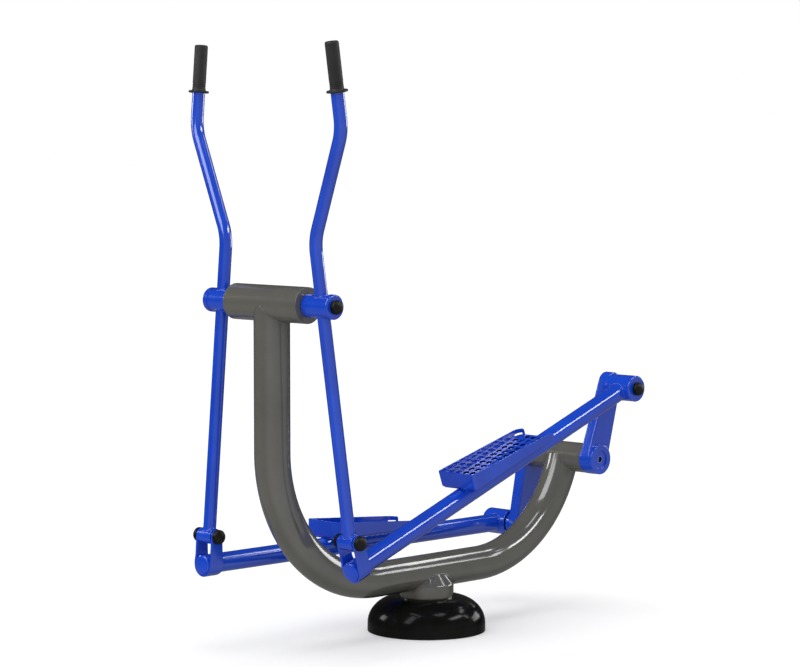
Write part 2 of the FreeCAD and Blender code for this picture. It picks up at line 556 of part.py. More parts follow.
for side, k in SIDES.items():
    s, frame = k["s"], k["lever_frame"]
    rot = ROT_Y if s > 0 else ROT_YN
    # sleeve that turns on the shaft
    a, b = mirrored_range(s, D["sleeve_in"], D["sleeve_out"])
    keep(side + "_pivot_sleeve", cut(cylinder(D["sleeve_rad"], a, b, "Y"), [cylinder(D["sleeve_bore"], a - 1, b + 1, "Y")]), frame)
    cr, cb = D["collar_rad"], D["collar_bore"]
    span = D["collar_out"] - D["sleeve_out"]
    collar = turned([(cb, 0), (cr - 1, 0), (cr, 1), (cr, span - 4.2), (cr - 0.9, span - 1.8), (cr - 2.9, span - 0.4), (cr - 5, span), (cb, span)], "collar")
    place(collar, (0, s * D["sleeve_out"], 0), rot)
    keep(side + "_sleeve_collar", collar, frame)
    cap = turned([(0, -4.5), (15.95, -4.5), (15.95, 0), (D["cap_rad"] + 0.7, 0), (D["cap_rad"] + 0.7, 7.5), (D["cap_rad"] - 0.5, 11.2), (D["cap_rad"] - 3.4, 14.4), (7.6, 16.7), (0, 17.4)], "cap")
    place(cap, (0, s * D["collar_out"], 0), rot)
    keep(side + "_sleeve_cap", cap, frame)
    rings = []
    for y in (133.0, 188.0):
        r = ring_body(D["sleeve_bore"], Q(17.5, "17.5"), Q(12, "12"), "ring_out")
        place(r, (0, s * y, 0), rot)
        rings.append(r)
    keep(side + "_sleeve_bearing_outer_rings", group(rings), frame)

    # upper tube: up from the sleeve, a double bend outwards, then up to the grip
    ly, fy = D["lever_y"].v, D["flare_y"].v
    k1, k2 = D["knee_low"].v, D["knee_high"].v
    kr = D["knee_rad"].v
    gl = D["grip_low"].v
    slope = math.atan2(fy - ly, k2 - k1)
    t = kr * math.tan(slope / 2)
    up = new_body("upper")
    prof = circles(up, "XY_Plane", [(0, s * D["lever_y"], D["lever_rad"]), (0, s * D["lever_y"], D["lever_rad"] - D["lever_wall"])])
    sp = up.newObject("Sketcher::SketchObject", fresh("spine"))
    sp.AttachmentSupport = [(plane_of(up, "YZ_Plane"), "")]
    sp.MapMode = "FlatFace"
    c1 = (s * (ly + kr), k1 - t)
    c2 = (s * (fy - kr), k2 + t)
    sp.addGeometry(Part.LineSegment(V(s * ly, 0, 0), V(s * ly, k1 - t, 0)), False)
    if s > 0:
        arc1 = (math.pi - slope, math.pi)
        arc2 = (-slope, 0.0)
    else:
        arc1 = (0.0, slope)
        arc2 = (math.pi, math.pi + slope)
    sp.addGeometry(Part.ArcOfCircle(Part.Circle(V(c1[0], c1[1], 0), V(0, 0, 1), kr), arc1[0], arc1[1]), False)
    e1 = (s * (ly + kr - kr * math.cos(slope)), k1 - t + kr * math.sin(slope))
    e2 = (s * (fy - kr + kr * math.cos(slope)), k2 + t - kr * math.sin(slope))
    sp.addGeometry(Part.LineSegment(V(e1[0], e1[1], 0), V(e2[0], e2[1], 0)), False)
    sp.addGeometry(Part.ArcOfCircle(Part.Circle(V(c2[0], c2[1], 0), V(0, 0, 1), kr), arc2[0], arc2[1]), False)
    sp.addGeometry(Part.LineSegment(V(s * fy, k2 + t, 0), V(s * fy, gl, 0)), False)
    doc.recompute()
    pp = up.newObject("PartDesign::AdditivePipe", fresh("pipe"))
    pp.Profile = prof
    pp.Spine = (sp, ["Edge1", "Edge2", "Edge3", "Edge4", "Edge5"])
    pp.Mode = "Standard"
    up.Tip = pp
    doc.recompute()
    coped = cut(up, [cylinder(D["sleeve_rad"], -300, 300, "Y")])
    plug = cylinder(D["grip_bore"], D["grip_low"] - 14, D["lever_top"] - 5, "Z", (0, s * D["flare_y"]))
    tip = cylinder(D["lever_rad"] - D["lever_wall"], D["grip_low"] - 14, D["grip_low"], "Z", (0, s * D["flare_y"]))
    keep(side + "_lever_upper", fuse([coped, plug, tip]), frame)
    low = cut(cylinder(D["lever_rad"], -(D["lever_len"]), 0, "Z", (0, s * D["lever_y"])),
              [cylinder(D["lever_rad"] - D["lever_wall"], -(D["lever_len"]), 1, "Z", (0, s * D["lever_y"])),
               cylinder(D["sleeve_rad"], -300, 300, "Y"),
               cylinder(D["tee_rad"], -300, 300, "Y", (0, -(D["lever_len"])))])
    keep(side + "_lever_lower", low, frame)
    gr = D["grip_rad"]
    span = D["lever_top"] - D["grip_low"]
    bore_top = span - 4.5
    grip = turned([(D["grip_bore"], 0), (D["grip_flange"] - 1, 0), (D["grip_flange"], 1), (D["grip_flange"], 4), (D["grip_flange"] - 1.2, 5),
                   (gr + 1.5, 5.5), (gr, 8), (gr, span - 5), (gr - 1.2, span - 1.6), (gr - 4, span), (0, span), (0, bore_top),
                   (D["grip_bore"], bore_top)], "grip")
    place(grip, (0, s * D["flare_y"], D["grip_low"]))
    keep(side + "_grip", grip, frame)

    # lower tee sleeve with two bushes
    a, b = s * D["lever_y"] - D["tee_half"], s * D["lever_y"] + D["tee_half"]
    keep(side + "_lower_sleeve", cut(cylinder(D["tee_rad"], a, b, "Y", (0, -(D["lever_len"]))),
                                     [cylinder(11.0, a - 1, b + 1, "Y", (0, -(D["lever_len"])))]), frame)
    bushes = []
    for q in (1, -1):
        r = turned([(7.56, 0), (13.5, 0), (13.5, 1.0), (11.0, 1.0), (11.0, 16), (7.56, 16)], "bush")
        place(r, (0, s * D["lever_y"] + q * (D["tee_half"] + 1.0), -(D["lever_len"])), ROT_YN if q > 0 else ROT_Y)
        bushes.append(r)
    keep(side + "_lower_bushes", group(bushes), frame)

# ---------------------------------------------------------------- pedal arms
HOLES_U, HOLES_Y = 14, 5
for side, k in SIDES.items():
    s, frame = k["s"], k["arm_frame"]
    rot = ROT_Y if s > 0 else ROT_YN
    ay = s * D["lever_y"]                       # lateral place of the arm tube
    ha, hb = mirrored_range(s, D["hub_in"], D["hub_out"])
    keep(side + "_arm_tube", cut(cylinder(D["arm_rad"], 0, D["arm_front"], "X", (ay, 0)),
                                 [cylinder(D["arm_rad"] - D["arm_wall"], -1, D["arm_front"] + 1, "X", (ay, 0)),
                                  cylinder(D["hub_rad"], ha - 50, hb + 50, "Y")]), frame)
    cap = turned([(0, -6), (21.1, -6), (21.1, 0), (D["arm_rad"], 0), (D["arm_rad"] - 0.6, 1.6), (20.5, 3.0), (12.0, 4.6), (0, 5.2)], "arm_cap")
    place(cap, (D["arm_front"], ay, 0), AXES["X"])
    keep(side + "_arm_front_cap", cap, frame)

    # U-shaped clevis: wraps the tube from below, both ears carry the pin
    ro = D["arm_rad"] + D["clevis_thk"]
    top = D["pivot_w"] + 20
    u0, u1 = D["clevis_rear"], D["clevis_front"]
    slab = box(u0, u1, ay - ro, ay + ro, 0, top)
    bottom = cylinder(ro, u0, u1, "X", (ay, 0))
    hollow = box(u0 - 1, u1 + 1, ay - D["arm_rad"], ay + D["arm_rad"], 0, top + 1)
    tube = cylinder(D["arm_rad"], u0 - 1, u1 + 1, "X", (ay, 0))
    uu = cut(fuse([slab, bottom]), [hollow, tube])
    pu, pw = D["pivot_u"].v, D["pivot_w"].v
    er = 17.0
    pts = []
    # side outline of the ears in the (u, w) plane, rounded over the pin
    f0, f1 = D["clevis_rear"].v, D["clevis_front"].v

    def tangent_angle(cx, cz, px, pz, r, sign):
        dx, dz = px - cx, pz - cz
        base = math.atan2(dz, dx)
        return base + sign * math.acos(r / math.hypot(dx, dz))

    ta = tangent_angle(pu, pw, f1 - 3, 22.0, er, 1)
    tb = tangent_angle(pu, pw, f0 + 3, 22.0, er, -1)
    pts = [(f0 + 14, -40), (f1, -40), (f1, 6), (f1 - 3, 22)]
    steps = 14
    for i in range(steps + 1):
        an = ta + (tb + 2 * math.pi - ta) * i / steps if tb < ta else ta + (tb - ta) * i / steps
        pts.append((pu + er * math.cos(an), pw + er * math.sin(an)))
    pts += [(f0 + 3, 22), (f0, 6), (f0, -16), (f0 + 4, -25)]
    prism = padded("XZ_Plane", pts, 80, "ear_profile", -40)
    prism.Placement = FreeCAD.Placement(V(0, num(ay), 0), FreeCAD.Rotation())
    shape = common(uu, prism)
    hole = cylinder(D["pin_rad"], ay - 60, ay + 60, "Y", (D["pivot_u"], D["pivot_w"]))
    keep(side + "_clevis", cut(shape, [hole]), frame)

    # pivot bolt with its nut, and the two domed caps that hide them
    outer_face = ro
    start = -outer_face - 9.0
    bolt = turned([(0, start), (D["pin_rad"], start), (D["pin_rad"], outer_face), (11.5, outer_face), (11.5, outer_face + 7.0),
                    (5.0, outer_face + 7.0), (5.0, outer_face + 3.5), (0, outer_face + 3.5)], "pivot_bolt")
    place(bolt, (D["pivot_u"], ay, D["pivot_w"]), rot)
    keep(side + "_clevis_bolt", bolt, frame)
    nut = padded("XY_Plane", [(12.4 * math.cos(math.radians(60 * i)), 12.4 * math.sin(math.radians(60 * i))) for i in range(6)], 7.0, "nut", 0)
    nutted = cut(nut, [cylinder(D["pin_rad"], -1, 9, "Z")])
    nutted.Placement = FreeCAD.Placement(V(PIVOT_U, num(ay) - s * (num(outer_face) + 7.0), pw), rot)
    keep(side + "_clevis_nut", nutted, frame)
    caps = []
    for q in (1, -1):
        c = turned([(13.2, 0), (D["ear_cap_rad"], 0), (D["ear_cap_rad"], 7.5), (D["ear_cap_rad"] - 1.2, 11.2), (D["ear_cap_rad"] - 4.2, 14.4),
                    (8.0, 16.7), (0, 17.4), (0, 14.6), (9.5, 13.4), (13.2, 10.2)], "clevis_cap")
        place(c, (D["pivot_u"], ay + q * outer_face, D["pivot_w"]), ROT_Y if q > 0 else ROT_YN)
        caps.append(c)
    keep(side + "_clevis_caps", group(caps), frame)

    # rear hub: a barrel with a closed outer end, open towards the crank
    ho, hi_ = D["hub_rad"], D["hub_bore"]
    length = D["hub_out"] - D["hub_in"]
    hub = turned([(hi_, 0), (ho - 0.8, 0), (ho, 0.8), (ho, length - 2), (ho - 2, length), (15.0, length), (15.0, length - D["hub_wall"]),
                  (hi_, length - D["hub_wall"])], "hub")
    place(hub, (0, s * D["hub_in"], 0), rot)
    keep(side + "_rear_hub", hub, frame)
    cap = turned([(0, -5), (14.95, -5), (14.95, 0), (17.8, 0), (17.8, 7.5), (16.6, 11.2), (13.7, 14.4), (7.9, 16.7), (0, 17.4)], "hub_cap")
    place(cap, (0, s * D["hub_out"], 0), rot)
    keep(side + "_hub_cap", cap, frame)

    # pedal tray: folded sheet, open at the rear; both pedals are the same part
    t0, t1, tl, tr = D["tray_rear"], D["tray_front"], ay + D["tray_left"], ay + D["tray_right"]
    w0, w1, th = D["tray_low"], D["tray_high"], D["tray_sheet"]

    def rounded(x0, x1, y0, y1, z0, z1, rf, rr):
        """A block with rounded vertical corners: rf at the front, rr at the rear left."""
        b = box(x0, x1, y0, y1, z0, z1)
        doc.recompute()
        fl = doc.addObject("Part::Fillet", fresh("fillet"))
        fl.Base = b
        todo = []
        for i, e in enumerate(b.Shape.Edges, start=1):
            p, q = e.Vertexes[0].Point, e.Vertexes[-1].Point
            if abs(p.x - q.x) < 1e-6 and abs(p.y - q.y) < 1e-6:
                if abs(p.x - num(x1)) < 1e-6:
                    todo.append((i, rf, rf))
                elif abs(p.y - num(y0)) < 1e-6:
                    todo.append((i, rr, rr))
        fl.Edges = todo
        return fl

    shell = rounded(t0, t1, tl, tr, w0, w1, 9.0, 20.0)
    void = rounded(t0 + th, t1 - th, tl + th, tr - th, w0 + th, w1 + 5, 6.0, 17.0)
    rear_gap = box(t0 - 5, t0 + 24, tl + 22, tr - th, w0 + th, w1 + 5)
    tail = D["tray_tail"]
    slope_pts = [(t0 - 20, tail + 0.0), (t0 + 9, tail + 0.6), (t1 + 1, w1), (t1 + 1, w1 + 30), (t0 - 20, w1 + 30)]
    lid = padded("XZ_Plane", slope_pts, 200, "lid", -100)
    lid.Placement = FreeCAD.Placement(V(0, num(ay), 0), FreeCAD.Rotation())
    nose = padded("XZ_Plane", [(t0 - 5, w0 + 9), (t0, w0 + 10), (t0 + 5, w0 + 15), (t0 + 16, tail + 0.4), (t0 + 16, tail + 20), (t0 - 5, tail + 20)], 12, "nose", 0)
    nose.Placement = FreeCAD.Placement(V(0, num(tr) + 6, 0), FreeCAD.Rotation())
    # relief slot under the rolled corner, and the stiffening sheet under the floor
    relief = box(t0 - 5, t0 + 20, tl - 5, tl + 15.5, w0 + th, w0 + D["relief_high"])
    seats = [box(q - 4.0, q + 4.0, ay - 40, ay + 40, w0 - 5, w0 + 0.0) for q in (398.0, 652.0)]
    backing = cut(box(t0 + 10, t1 - 8, tl + 8, tr - 8, w0 - D["backing_thk"], w0),
                  [cylinder(D["arm_rad"], 300, 700, "X", (ay, 0))] + seats)
    tools = [void, rear_gap, lid, nose, relief]
    drills = []
    for i in range(HOLES_U):
        for j in range(HOLES_Y):
            u = num(t0) + 14.5 + num(D["tray_pitch"]) * i
            y = num(ay) + num(D["tray_pitch"]) * (j - 2)
            if i == 0 and j == 0:
                continue
            drills.append(Part.makeCylinder(D["tray_hole"].v, 14, V(u, y, w0.v - 6), V(0, 0, 1)))
    field = doc.addObject("Part::Feature", fresh("drills"))
    field.Shape = Part.makeCompound(drills)
    body_shape = fuse([cut(shell, tools), backing])
    keep(side + "_pedal", cut(body_shape, [field]), frame)
    saddles = []
    for u in (398.0, 652.0):
        b = cut(box(u - 4, u + 4, ay - 40, ay + 40, 8.0, w0), [cylinder(D["arm_rad"], u - 5, u + 5, "X", (ay, 0))])
        clipper = padded("YZ_Plane", [(-40, 25.7), (-40, 22), (-26, 8), (26, 8), (40, 22), (40, 25.7)], 10, "saddle_outline", u - 5)
        clipper.Placement = FreeCAD.Placement(V(0, num(ay), 0), FreeCAD.Rotation())
        saddles.append(common(b, clipper))
    keep(side + "_pedal_saddles", group(saddles), frame)

doc.recompute()

# ---------------------------------------------------------------- checks and files
bad = []
for o in doc.Objects:
    if "Invalid" in o.State or "Error" in o.State:
        bad.append((o.Name, o.Label, o.State))
for name, o in parts.items():
    sh = o.Shape
    if sh.isNull() or not sh.isValid() or sh.Volume < 1.0:
        bad.append((name, "bad shape"))
    print("%-34s solids %2d  volume %10.1f cm3 %.1f" % (name, len(sh.Solids), sh.Volume, sh.Volume / 1000.0))
if bad:
    for item in bad:
        print("BAD", item)
    raise SystemExit("some objects failed")
os.makedirs("parts", exist_ok=True)
for name, o in parts.items():
    o.Shape.exportStep("parts/%s.step" % name)
for side, k in SIDES.items():
    print(side, "foot", k["foot"], "pin", k["pin"], "tilt", math.degrees(k["tilt"]), "lean", k["lean"])
print("arm length", ARM_LEN, "pivot u", PIVOT_U, "parts", len(parts))
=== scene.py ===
# Outdoor elliptical walker: detailed skins over the fixed frame, materials, studio light and camera.
# All sizes below are in millimetres in the frame of the CAD; meshes are written in metres.
import json
import math

import bmesh
import bpy
from mathutils import Matrix, Vector, geometry, noise


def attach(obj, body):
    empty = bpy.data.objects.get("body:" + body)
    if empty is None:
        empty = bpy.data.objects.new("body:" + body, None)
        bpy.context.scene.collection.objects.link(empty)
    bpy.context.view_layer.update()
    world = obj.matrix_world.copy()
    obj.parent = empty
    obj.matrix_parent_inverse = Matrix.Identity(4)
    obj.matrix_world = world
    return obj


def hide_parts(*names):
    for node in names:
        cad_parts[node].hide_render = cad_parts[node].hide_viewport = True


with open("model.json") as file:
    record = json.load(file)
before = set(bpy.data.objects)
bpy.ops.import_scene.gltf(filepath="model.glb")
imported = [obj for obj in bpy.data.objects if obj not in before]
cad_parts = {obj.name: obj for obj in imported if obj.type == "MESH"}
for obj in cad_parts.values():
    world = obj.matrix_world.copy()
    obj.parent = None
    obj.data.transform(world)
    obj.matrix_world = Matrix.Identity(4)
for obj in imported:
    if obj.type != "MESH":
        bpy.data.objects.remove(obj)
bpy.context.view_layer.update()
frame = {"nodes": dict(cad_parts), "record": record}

MM = 0.001
TAU = 2.0 * math.pi
X, Y, Z = Vector((1, 0, 0)), Vector((0, 1, 0)), Vector((0, 0, 1))

# ------------------------------------------------------------------ dimensions
MAST_X, BAR_Z, RUN_Z, BEND = 542.5, 868.5, 152.2, 352.5
AXLE_X, AXLE_Z = -531.7, 407.5
R_MAIN = 44.45
LEVER_Y, FLARE_Y = 176.3, 308.8
SIDES = {
    "left": dict(s=1.0, lean=8.96, tilt=-20.22059201929961, pin=(-580.3713606202684, 599.4247213241999), crank=-14.23, drift=-14.3),
    "right": dict(s=-1.0, lean=-4.7876353912058605, tilt=0.16830050389095905,
                  pin=(-483.02863937973166, 215.57527867580012), crank=165.77, drift=0.0),
}
PIVOT_U, PIVOT_W = 1074.3136509606504, 69.8


def turn(x, z, degrees):
    """A frame at (x, 0, z), turned about +Y."""
    return Matrix.Translation((x, 0, z)) @ Matrix.Rotation(math.radians(degrees), 4, "Y")


def aim(origin, axis, base=None):
    """A frame whose Z runs along axis, inside an optional base frame."""
    m = Matrix.Translation(origin) @ Z.rotation_difference(Vector(axis)).to_matrix().to_4x4()
    return base @ m if base is not None else m


# ------------------------------------------------------------------ mesh tools
def soften(points, radii, closed=False, steps=5):
    """Round the corners of a flat polyline with true arcs."""
    n = len(points)
    if not isinstance(radii, (list, tuple)):
        radii = [radii] * n
    out = []
    for i, p in enumerate(points):
        r = radii[i]
        if r <= 0 or (not closed and i in (0, n - 1)):
            out.append(tuple(p))
            continue
        a, b = Vector(points[i - 1]) - Vector(p), Vector(points[(i + 1) % n]) - Vector(p)
        la, lb = a.length, b.length
        a.normalize()
        b.normalize()
        cosv = max(-1.0, min(1.0, a.dot(b)))
        half = math.acos(cosv) / 2
        if half > math.radians(88.5):
            out.append(tuple(p))
            continue
        t = min(r / math.tan(half), 0.49 * la, 0.49 * lb)
        rr = t * math.tan(half)
        centre = Vector(p) + (a + b).normalized() * (rr / math.sin(half))
        p0, p1 = Vector(p) + a * t, Vector(p) + b * t
        v0, v1 = p0 - centre, p1 - centre
        a0 = math.atan2(v0.y, v0.x)
        da = math.atan2(v0.x * v1.y - v0.y * v1.x, v0.dot(v1))
        k = max(2, int(round(steps * abs(da) / (math.pi / 2))))
        for j in range(k + 1):
            an = a0 + da * j / k
            out.append((centre.x + rr * math.cos(an), centre.y + rr * math.sin(an)))
    return out


def make(name, verts, faces, mat, body, nodes=(), slot=None, sharp=40.0, even=True):
    me = bpy.data.meshes.new(name)
    me.from_pydata([tuple(c * MM for c in v) for v in verts], [], faces)
    bm = bmesh.new()
    bm.from_mesh(me)
    bmesh.ops.remove_doubles(bm, verts=bm.verts, dist=2e-7)
    bmesh.ops.dissolve_degenerate(bm, dist=1e-7, edges=bm.edges)
    bmesh.ops.recalc_face_normals(bm, faces=bm.faces)
    bm.to_mesh(me)
    bm.free()
    me.polygons.foreach_set("use_smooth", [True] * len(me.polygons))
    me.set_sharp_from_angle(angle=math.radians(sharp))
    me.materials.append(mat)
    o = bpy.data.objects.new(name, me)
    bpy.context.scene.collection.objects.link(o)
    if even:
        m = o.modifiers.new("even_normals", "WEIGHTED_NORMAL")
        m.keep_sharp = True
        m.weight = 80
    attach(o, body)
    if nodes:
        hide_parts(*nodes)
    return o


def lathe(profile, matrix, seg=96, loop=False):
    """Turn a (radius, height) profile; an open one starts and ends on the axis, a loop makes a ring."""
    verts, rings, faces = [], [], []
    for r, h in profile:
        if r < 1e-6:
            rings.append([len(verts)] * seg)
            verts.append(matrix @ Vector((0, 0, h)))
        else:
            rings.append(list(range(len(verts), len(verts) + seg)))
            for k in range(seg):
                an = TAU * k / seg
                verts.append(matrix @ Vector((r * math.cos(an), r * math.sin(an), h)))
    pairs = list(zip(rings, rings[1:]))
    if loop:
        pairs.append((rings[-1], rings[0]))
    for a, b in pairs:
        for k in range(seg):
            j = (k + 1) % seg
            quad = []
            for v in (a[k], a[j], b[j], b[k]):
                if v not in quad:
                    quad.append(v)
            if len(quad) > 2:
                faces.append(quad)
    return verts, faces


def join(*shapes):
    verts, faces = [], []
    for v, f in shapes:
        n = len(verts)
        verts += list(v)
        faces += [[i + n for i in q] for q in f]
    return verts, faces


def line_and_arcs(points, radii, step=3.0):
    """Flat route of straight runs and arcs: [(point, direction)]."""
    out = []
    n = len(points)
    prev = Vector(points[0])
    for i in range(1, n):
        p = Vector(points[i])
        d = (p - Vector(points[i - 1])).normalized()
        if i == n - 1:
            out += [(prev, d), (p, d)]
            break
        e = (Vector(points[i + 1]) - p).normalized()
        ang = math.acos(max(-1, min(1, d.dot(e))))
        r = radii[i]
        t = r * math.tan(ang / 2)
        start = p - d * t
        out += [(prev, d), (start, d)]
        side = 1.0 if d.x * e.y - d.y * e.x > 0 else -1.0
        centre = start + Vector((-d.y, d.x)) * r * side
        k = max(4, int(math.degrees(ang) / step))
        for j in range(1, k):
            a = side * ang * j / k
            rot = Matrix.Rotation(a, 2)
            out.append((centre + rot @ (start - centre), rot @ d))
        prev = p + e * t
    return out


def tube(stations, binormal, matrix, seg=64, radius=None, first=None, last=None, tip0=None, tip1=None):
    """Sweep a circle along (point3, direction3, radius) stations in a plane; first and last reshape the end rings."""
    verts, rings, faces = [], [], []
    b = Vector(binormal)
    for i, (p, t, r) in enumerate(stations):
        n = b.cross(t).normalized()
        ring = []
        for k in range(seg):
            an = TAU * k / seg
            q = p + n * (r * math.cos(an)) + b * (r * math.sin(an))
            if i == 0 and first:
                q = first(q)
            if i == len(stations) - 1 and last:
                q = last(q)
            ring.append(len(verts))
            verts.append(q)
        rings.append(ring)
    for a, c in zip(rings, rings[1:]):
        for k in range(seg):
            j = (k + 1) % seg
            faces.append([a[k], a[j], c[j], c[k]])
    for ring, tip, p in ((rings[0], tip0, stations[0][0]), (rings[-1], tip1, stations[-1][0])):
        verts.append(Vector(tip if tip is not None else p))
        for k in range(seg):
            faces.append([ring[k], ring[(k + 1) % seg], len(verts) - 1])
    return [matrix @ v for v in verts], faces


def bead(points, axis_point, axis, radius, matrix, closed=True, seg=10, pitch=3.4, taper=None, seed=0.0):
    """A weld bead along points that go round an axis, with fine ripples."""
    n = len(points)
    pts = [Vector(p) for p in points]
    lengths = [0.0]
    for i in range(1, n):
        lengths.append(lengths[-1] + (pts[i] - pts[i - 1]).length)
    total = lengths[-1] + ((pts[0] - pts[-1]).length if closed else 0.0)
    waves = max(1, round(total / pitch))
    a = Vector(axis).normalized()
    c = Vector(axis_point)
    verts, faces, rings = [], [], []
    for i in range(n):
        if closed:
            t = pts[(i + 1) % n] - pts[i - 1]
        else:
            t = pts[min(i + 1, n - 1)] - pts[max(i - 1, 0)]
        t.normalize()
        e = pts[i] - c
        e -= a * e.dot(a)
        e -= t * e.dot(t)
        e.normalize()
        f = t.cross(e)
        wob = 1.0 + 0.09 * math.sin(TAU * waves * lengths[i] / total) + 0.10 * noise.noise(pts[i] * 0.06 + Vector((seed, 0, 0)))
        r = radius * wob * (taper(i / (n - 1)) if taper else 1.0)
        ring = []
        for k in range(seg):
            an = TAU * k / seg
            ring.append(len(verts))
            verts.append(matrix @ (pts[i] + e * (r * math.cos(an)) + f * (r * math.sin(an))))
        rings.append(ring)
    pairs = list(zip(rings, rings[1:]))
    if closed:
        pairs.append((rings[-1], rings[0]))
    for p, q in pairs:
        for k in range(seg):
            j = (k + 1) % seg
            faces.append([p[k], p[j], q[j], q[k]])
    if not closed:
        for ring, i in ((rings[0], 0), (rings[-1], n - 1)):
            verts.append(matrix @ pts[i])
            for k in range(seg):
                faces.append([ring[k], ring[(k + 1) % seg], len(verts) - 1])
    return verts, faces


def plate(outline, t0, t1, edge, matrix, steps=4):
    """A flat plate with rolled edges. outline is a closed (a, b) loop, thickness runs along local Z."""
    n = len(outline)
    pts = [Vector(p) for p in outline]
    area = sum(pts[i].x * pts[(i + 1) % n].y - pts[(i + 1) % n].x * pts[i].y for i in range(n))
    if area < 0:
        pts.reverse()
    normals = []
    for i in range(n):
        a, b = (pts[i] - pts[i - 1]).normalized(), (pts[(i + 1) % n] - pts[i]).normalized()
        m = Vector((a.y + b.y, -(a.x + b.x)))
        m.normalize()
        normals.append(m / max(0.35, m.dot(Vector((a.y, -a.x)))))
    levels = []
    for k in range(steps + 1):
        an = 0.5 * math.pi * k / steps
        levels.append((edge * (1 - math.sin(an)), t0 + edge * (1 - math.cos(an))))
    levels = [(ins, h) for ins, h in levels] + [(ins, t1 - (h - t0)) for ins, h in reversed(levels)]
    verts, faces, rings = [], [], []
    for ins, h in levels:
        ring = []
        for p, m in zip(pts, normals):
            q = p - m * ins
            ring.append(len(verts))
            verts.append(matrix @ Vector((q.x, q.y, h)))
        rings.append(ring)
    for a, b in zip(rings, rings[1:]):
        for k in range(n):
            j = (k + 1) % n
            faces.append([a[k], a[j], b[j], b[k]])
    faces.append(list(reversed(rings[0])))
    faces.append(list(rings[-1]))
    return verts, faces


def dome_profile(r, h, base=0.0, edge=0.0, n=12, power=1.0):
    """Quarter ellipse from (r, base) up to (0, h)."""
    out = []
    for i in range(n + 1):
        a = 0.5 * math.pi * i / n
        out.append((r * math.cos(a) if i < n else 0.0, base + (h - base) * math.sin(a) ** power))
    return out


# ------------------------------------------------------------------ materials
def nodes_of(name):
    m = bpy.data.materials.new(name)
    m.use_nodes = True
    nt = m.node_tree
    nt.nodes.clear()
    out = nt.nodes.new("ShaderNodeOutputMaterial")
    bsdf = nt.nodes.new("ShaderNodeBsdfPrincipled")
    nt.links.new(bsdf.outputs["BSDF"], out.inputs["Surface"])
    return m, nt, bsdf


def tex_noise(nt, coord, scale, detail=3.0, rough=0.55, stretch=None):
    node = nt.nodes.new("ShaderNodeTexNoise")
    node.inputs["Scale"].default_value = scale
    node.inputs["Detail"].default_value = detail
    node.inputs["Roughness"].default_value = rough
    if stretch:
        mp = nt.nodes.new("ShaderNodeMapping")
        mp.inputs["Scale"].default_value = stretch
        nt.links.new(coord, mp.inputs["Vector"])
        nt.links.new(mp.outputs["Vector"], node.inputs["Vector"])
    else:
        nt.links.new(coord, node.inputs["Vector"])
    return node.outputs["Fac"]


def ramp(nt, fac, stops):
    node = nt.nodes.new("ShaderNodeValToRGB")
    els = node.color_ramp.elements
    while len(els) > len(stops):
        els.remove(els[-1])
    while len(els) < len(stops):
        els.new(0.5)
    for e, (pos, col) in zip(els, stops):
        e.position = pos
        e.color = col if len(col) == 4 else (*col, 1.0)
    nt.links.new(fac, node.inputs["Fac"])
    return node.outputs["Color"]


def remap(nt, value, a0, a1, b0, b1):
    node = nt.nodes.new("ShaderNodeMapRange")
    for key, v in (("From Min", a0), ("From Max", a1), ("To Min", b0), ("To Max", b1)):
        node.inputs[key].default_value = v
    nt.links.new(value, node.inputs["Value"])
    return node.outputs["Result"]


def mix(nt, fac, a, b, mode="MIX"):
    node = nt.nodes.new("ShaderNodeMix")
    node.data_type = "RGBA"
    node.blend_type = mode
    fi, ai, bi = node.inputs[0], node.inputs[6], node.inputs[7]
    for sock, v in ((fi, fac), (ai, a), (bi, b)):
        if isinstance(v, (int, float)):
            sock.default_value = v
        elif isinstance(v, tuple):
            sock.default_value = v if len(v) == 4 else (*v, 1.0)
        else:
            nt.links.new(v, sock)
    return node.outputs[2]


def times(nt, a, b):
    node = nt.nodes.new("ShaderNodeMath")
    node.operation = "MULTIPLY"
    for sock, v in ((node.inputs[0], a), (node.inputs[1], b)):
        if isinstance(v, (int, float)):
            sock.default_value = v
        else:
            nt.links.new(v, sock)
    return node.outputs[0]


def bump(nt, height, strength, distance, chain=None):
    node = nt.nodes.new("ShaderNodeBump")
    node.inputs["Strength"].default_value = strength
    node.inputs["Distance"].default_value = distance
    nt.links.new(height, node.inputs["Height"])
    if chain is not None:
        nt.links.new(chain, node.inputs["Normal"])
    return node.outputs["Normal"]


def shade(rgb):
    """Screen colour 0-255 to scene-linear."""
    out = []
    for v in rgb:
        v /= 255.0
        out.append(v / 12.92 if v <= 0.04045 else ((v + 0.055) / 1.055) ** 2.4)
    return tuple(out)


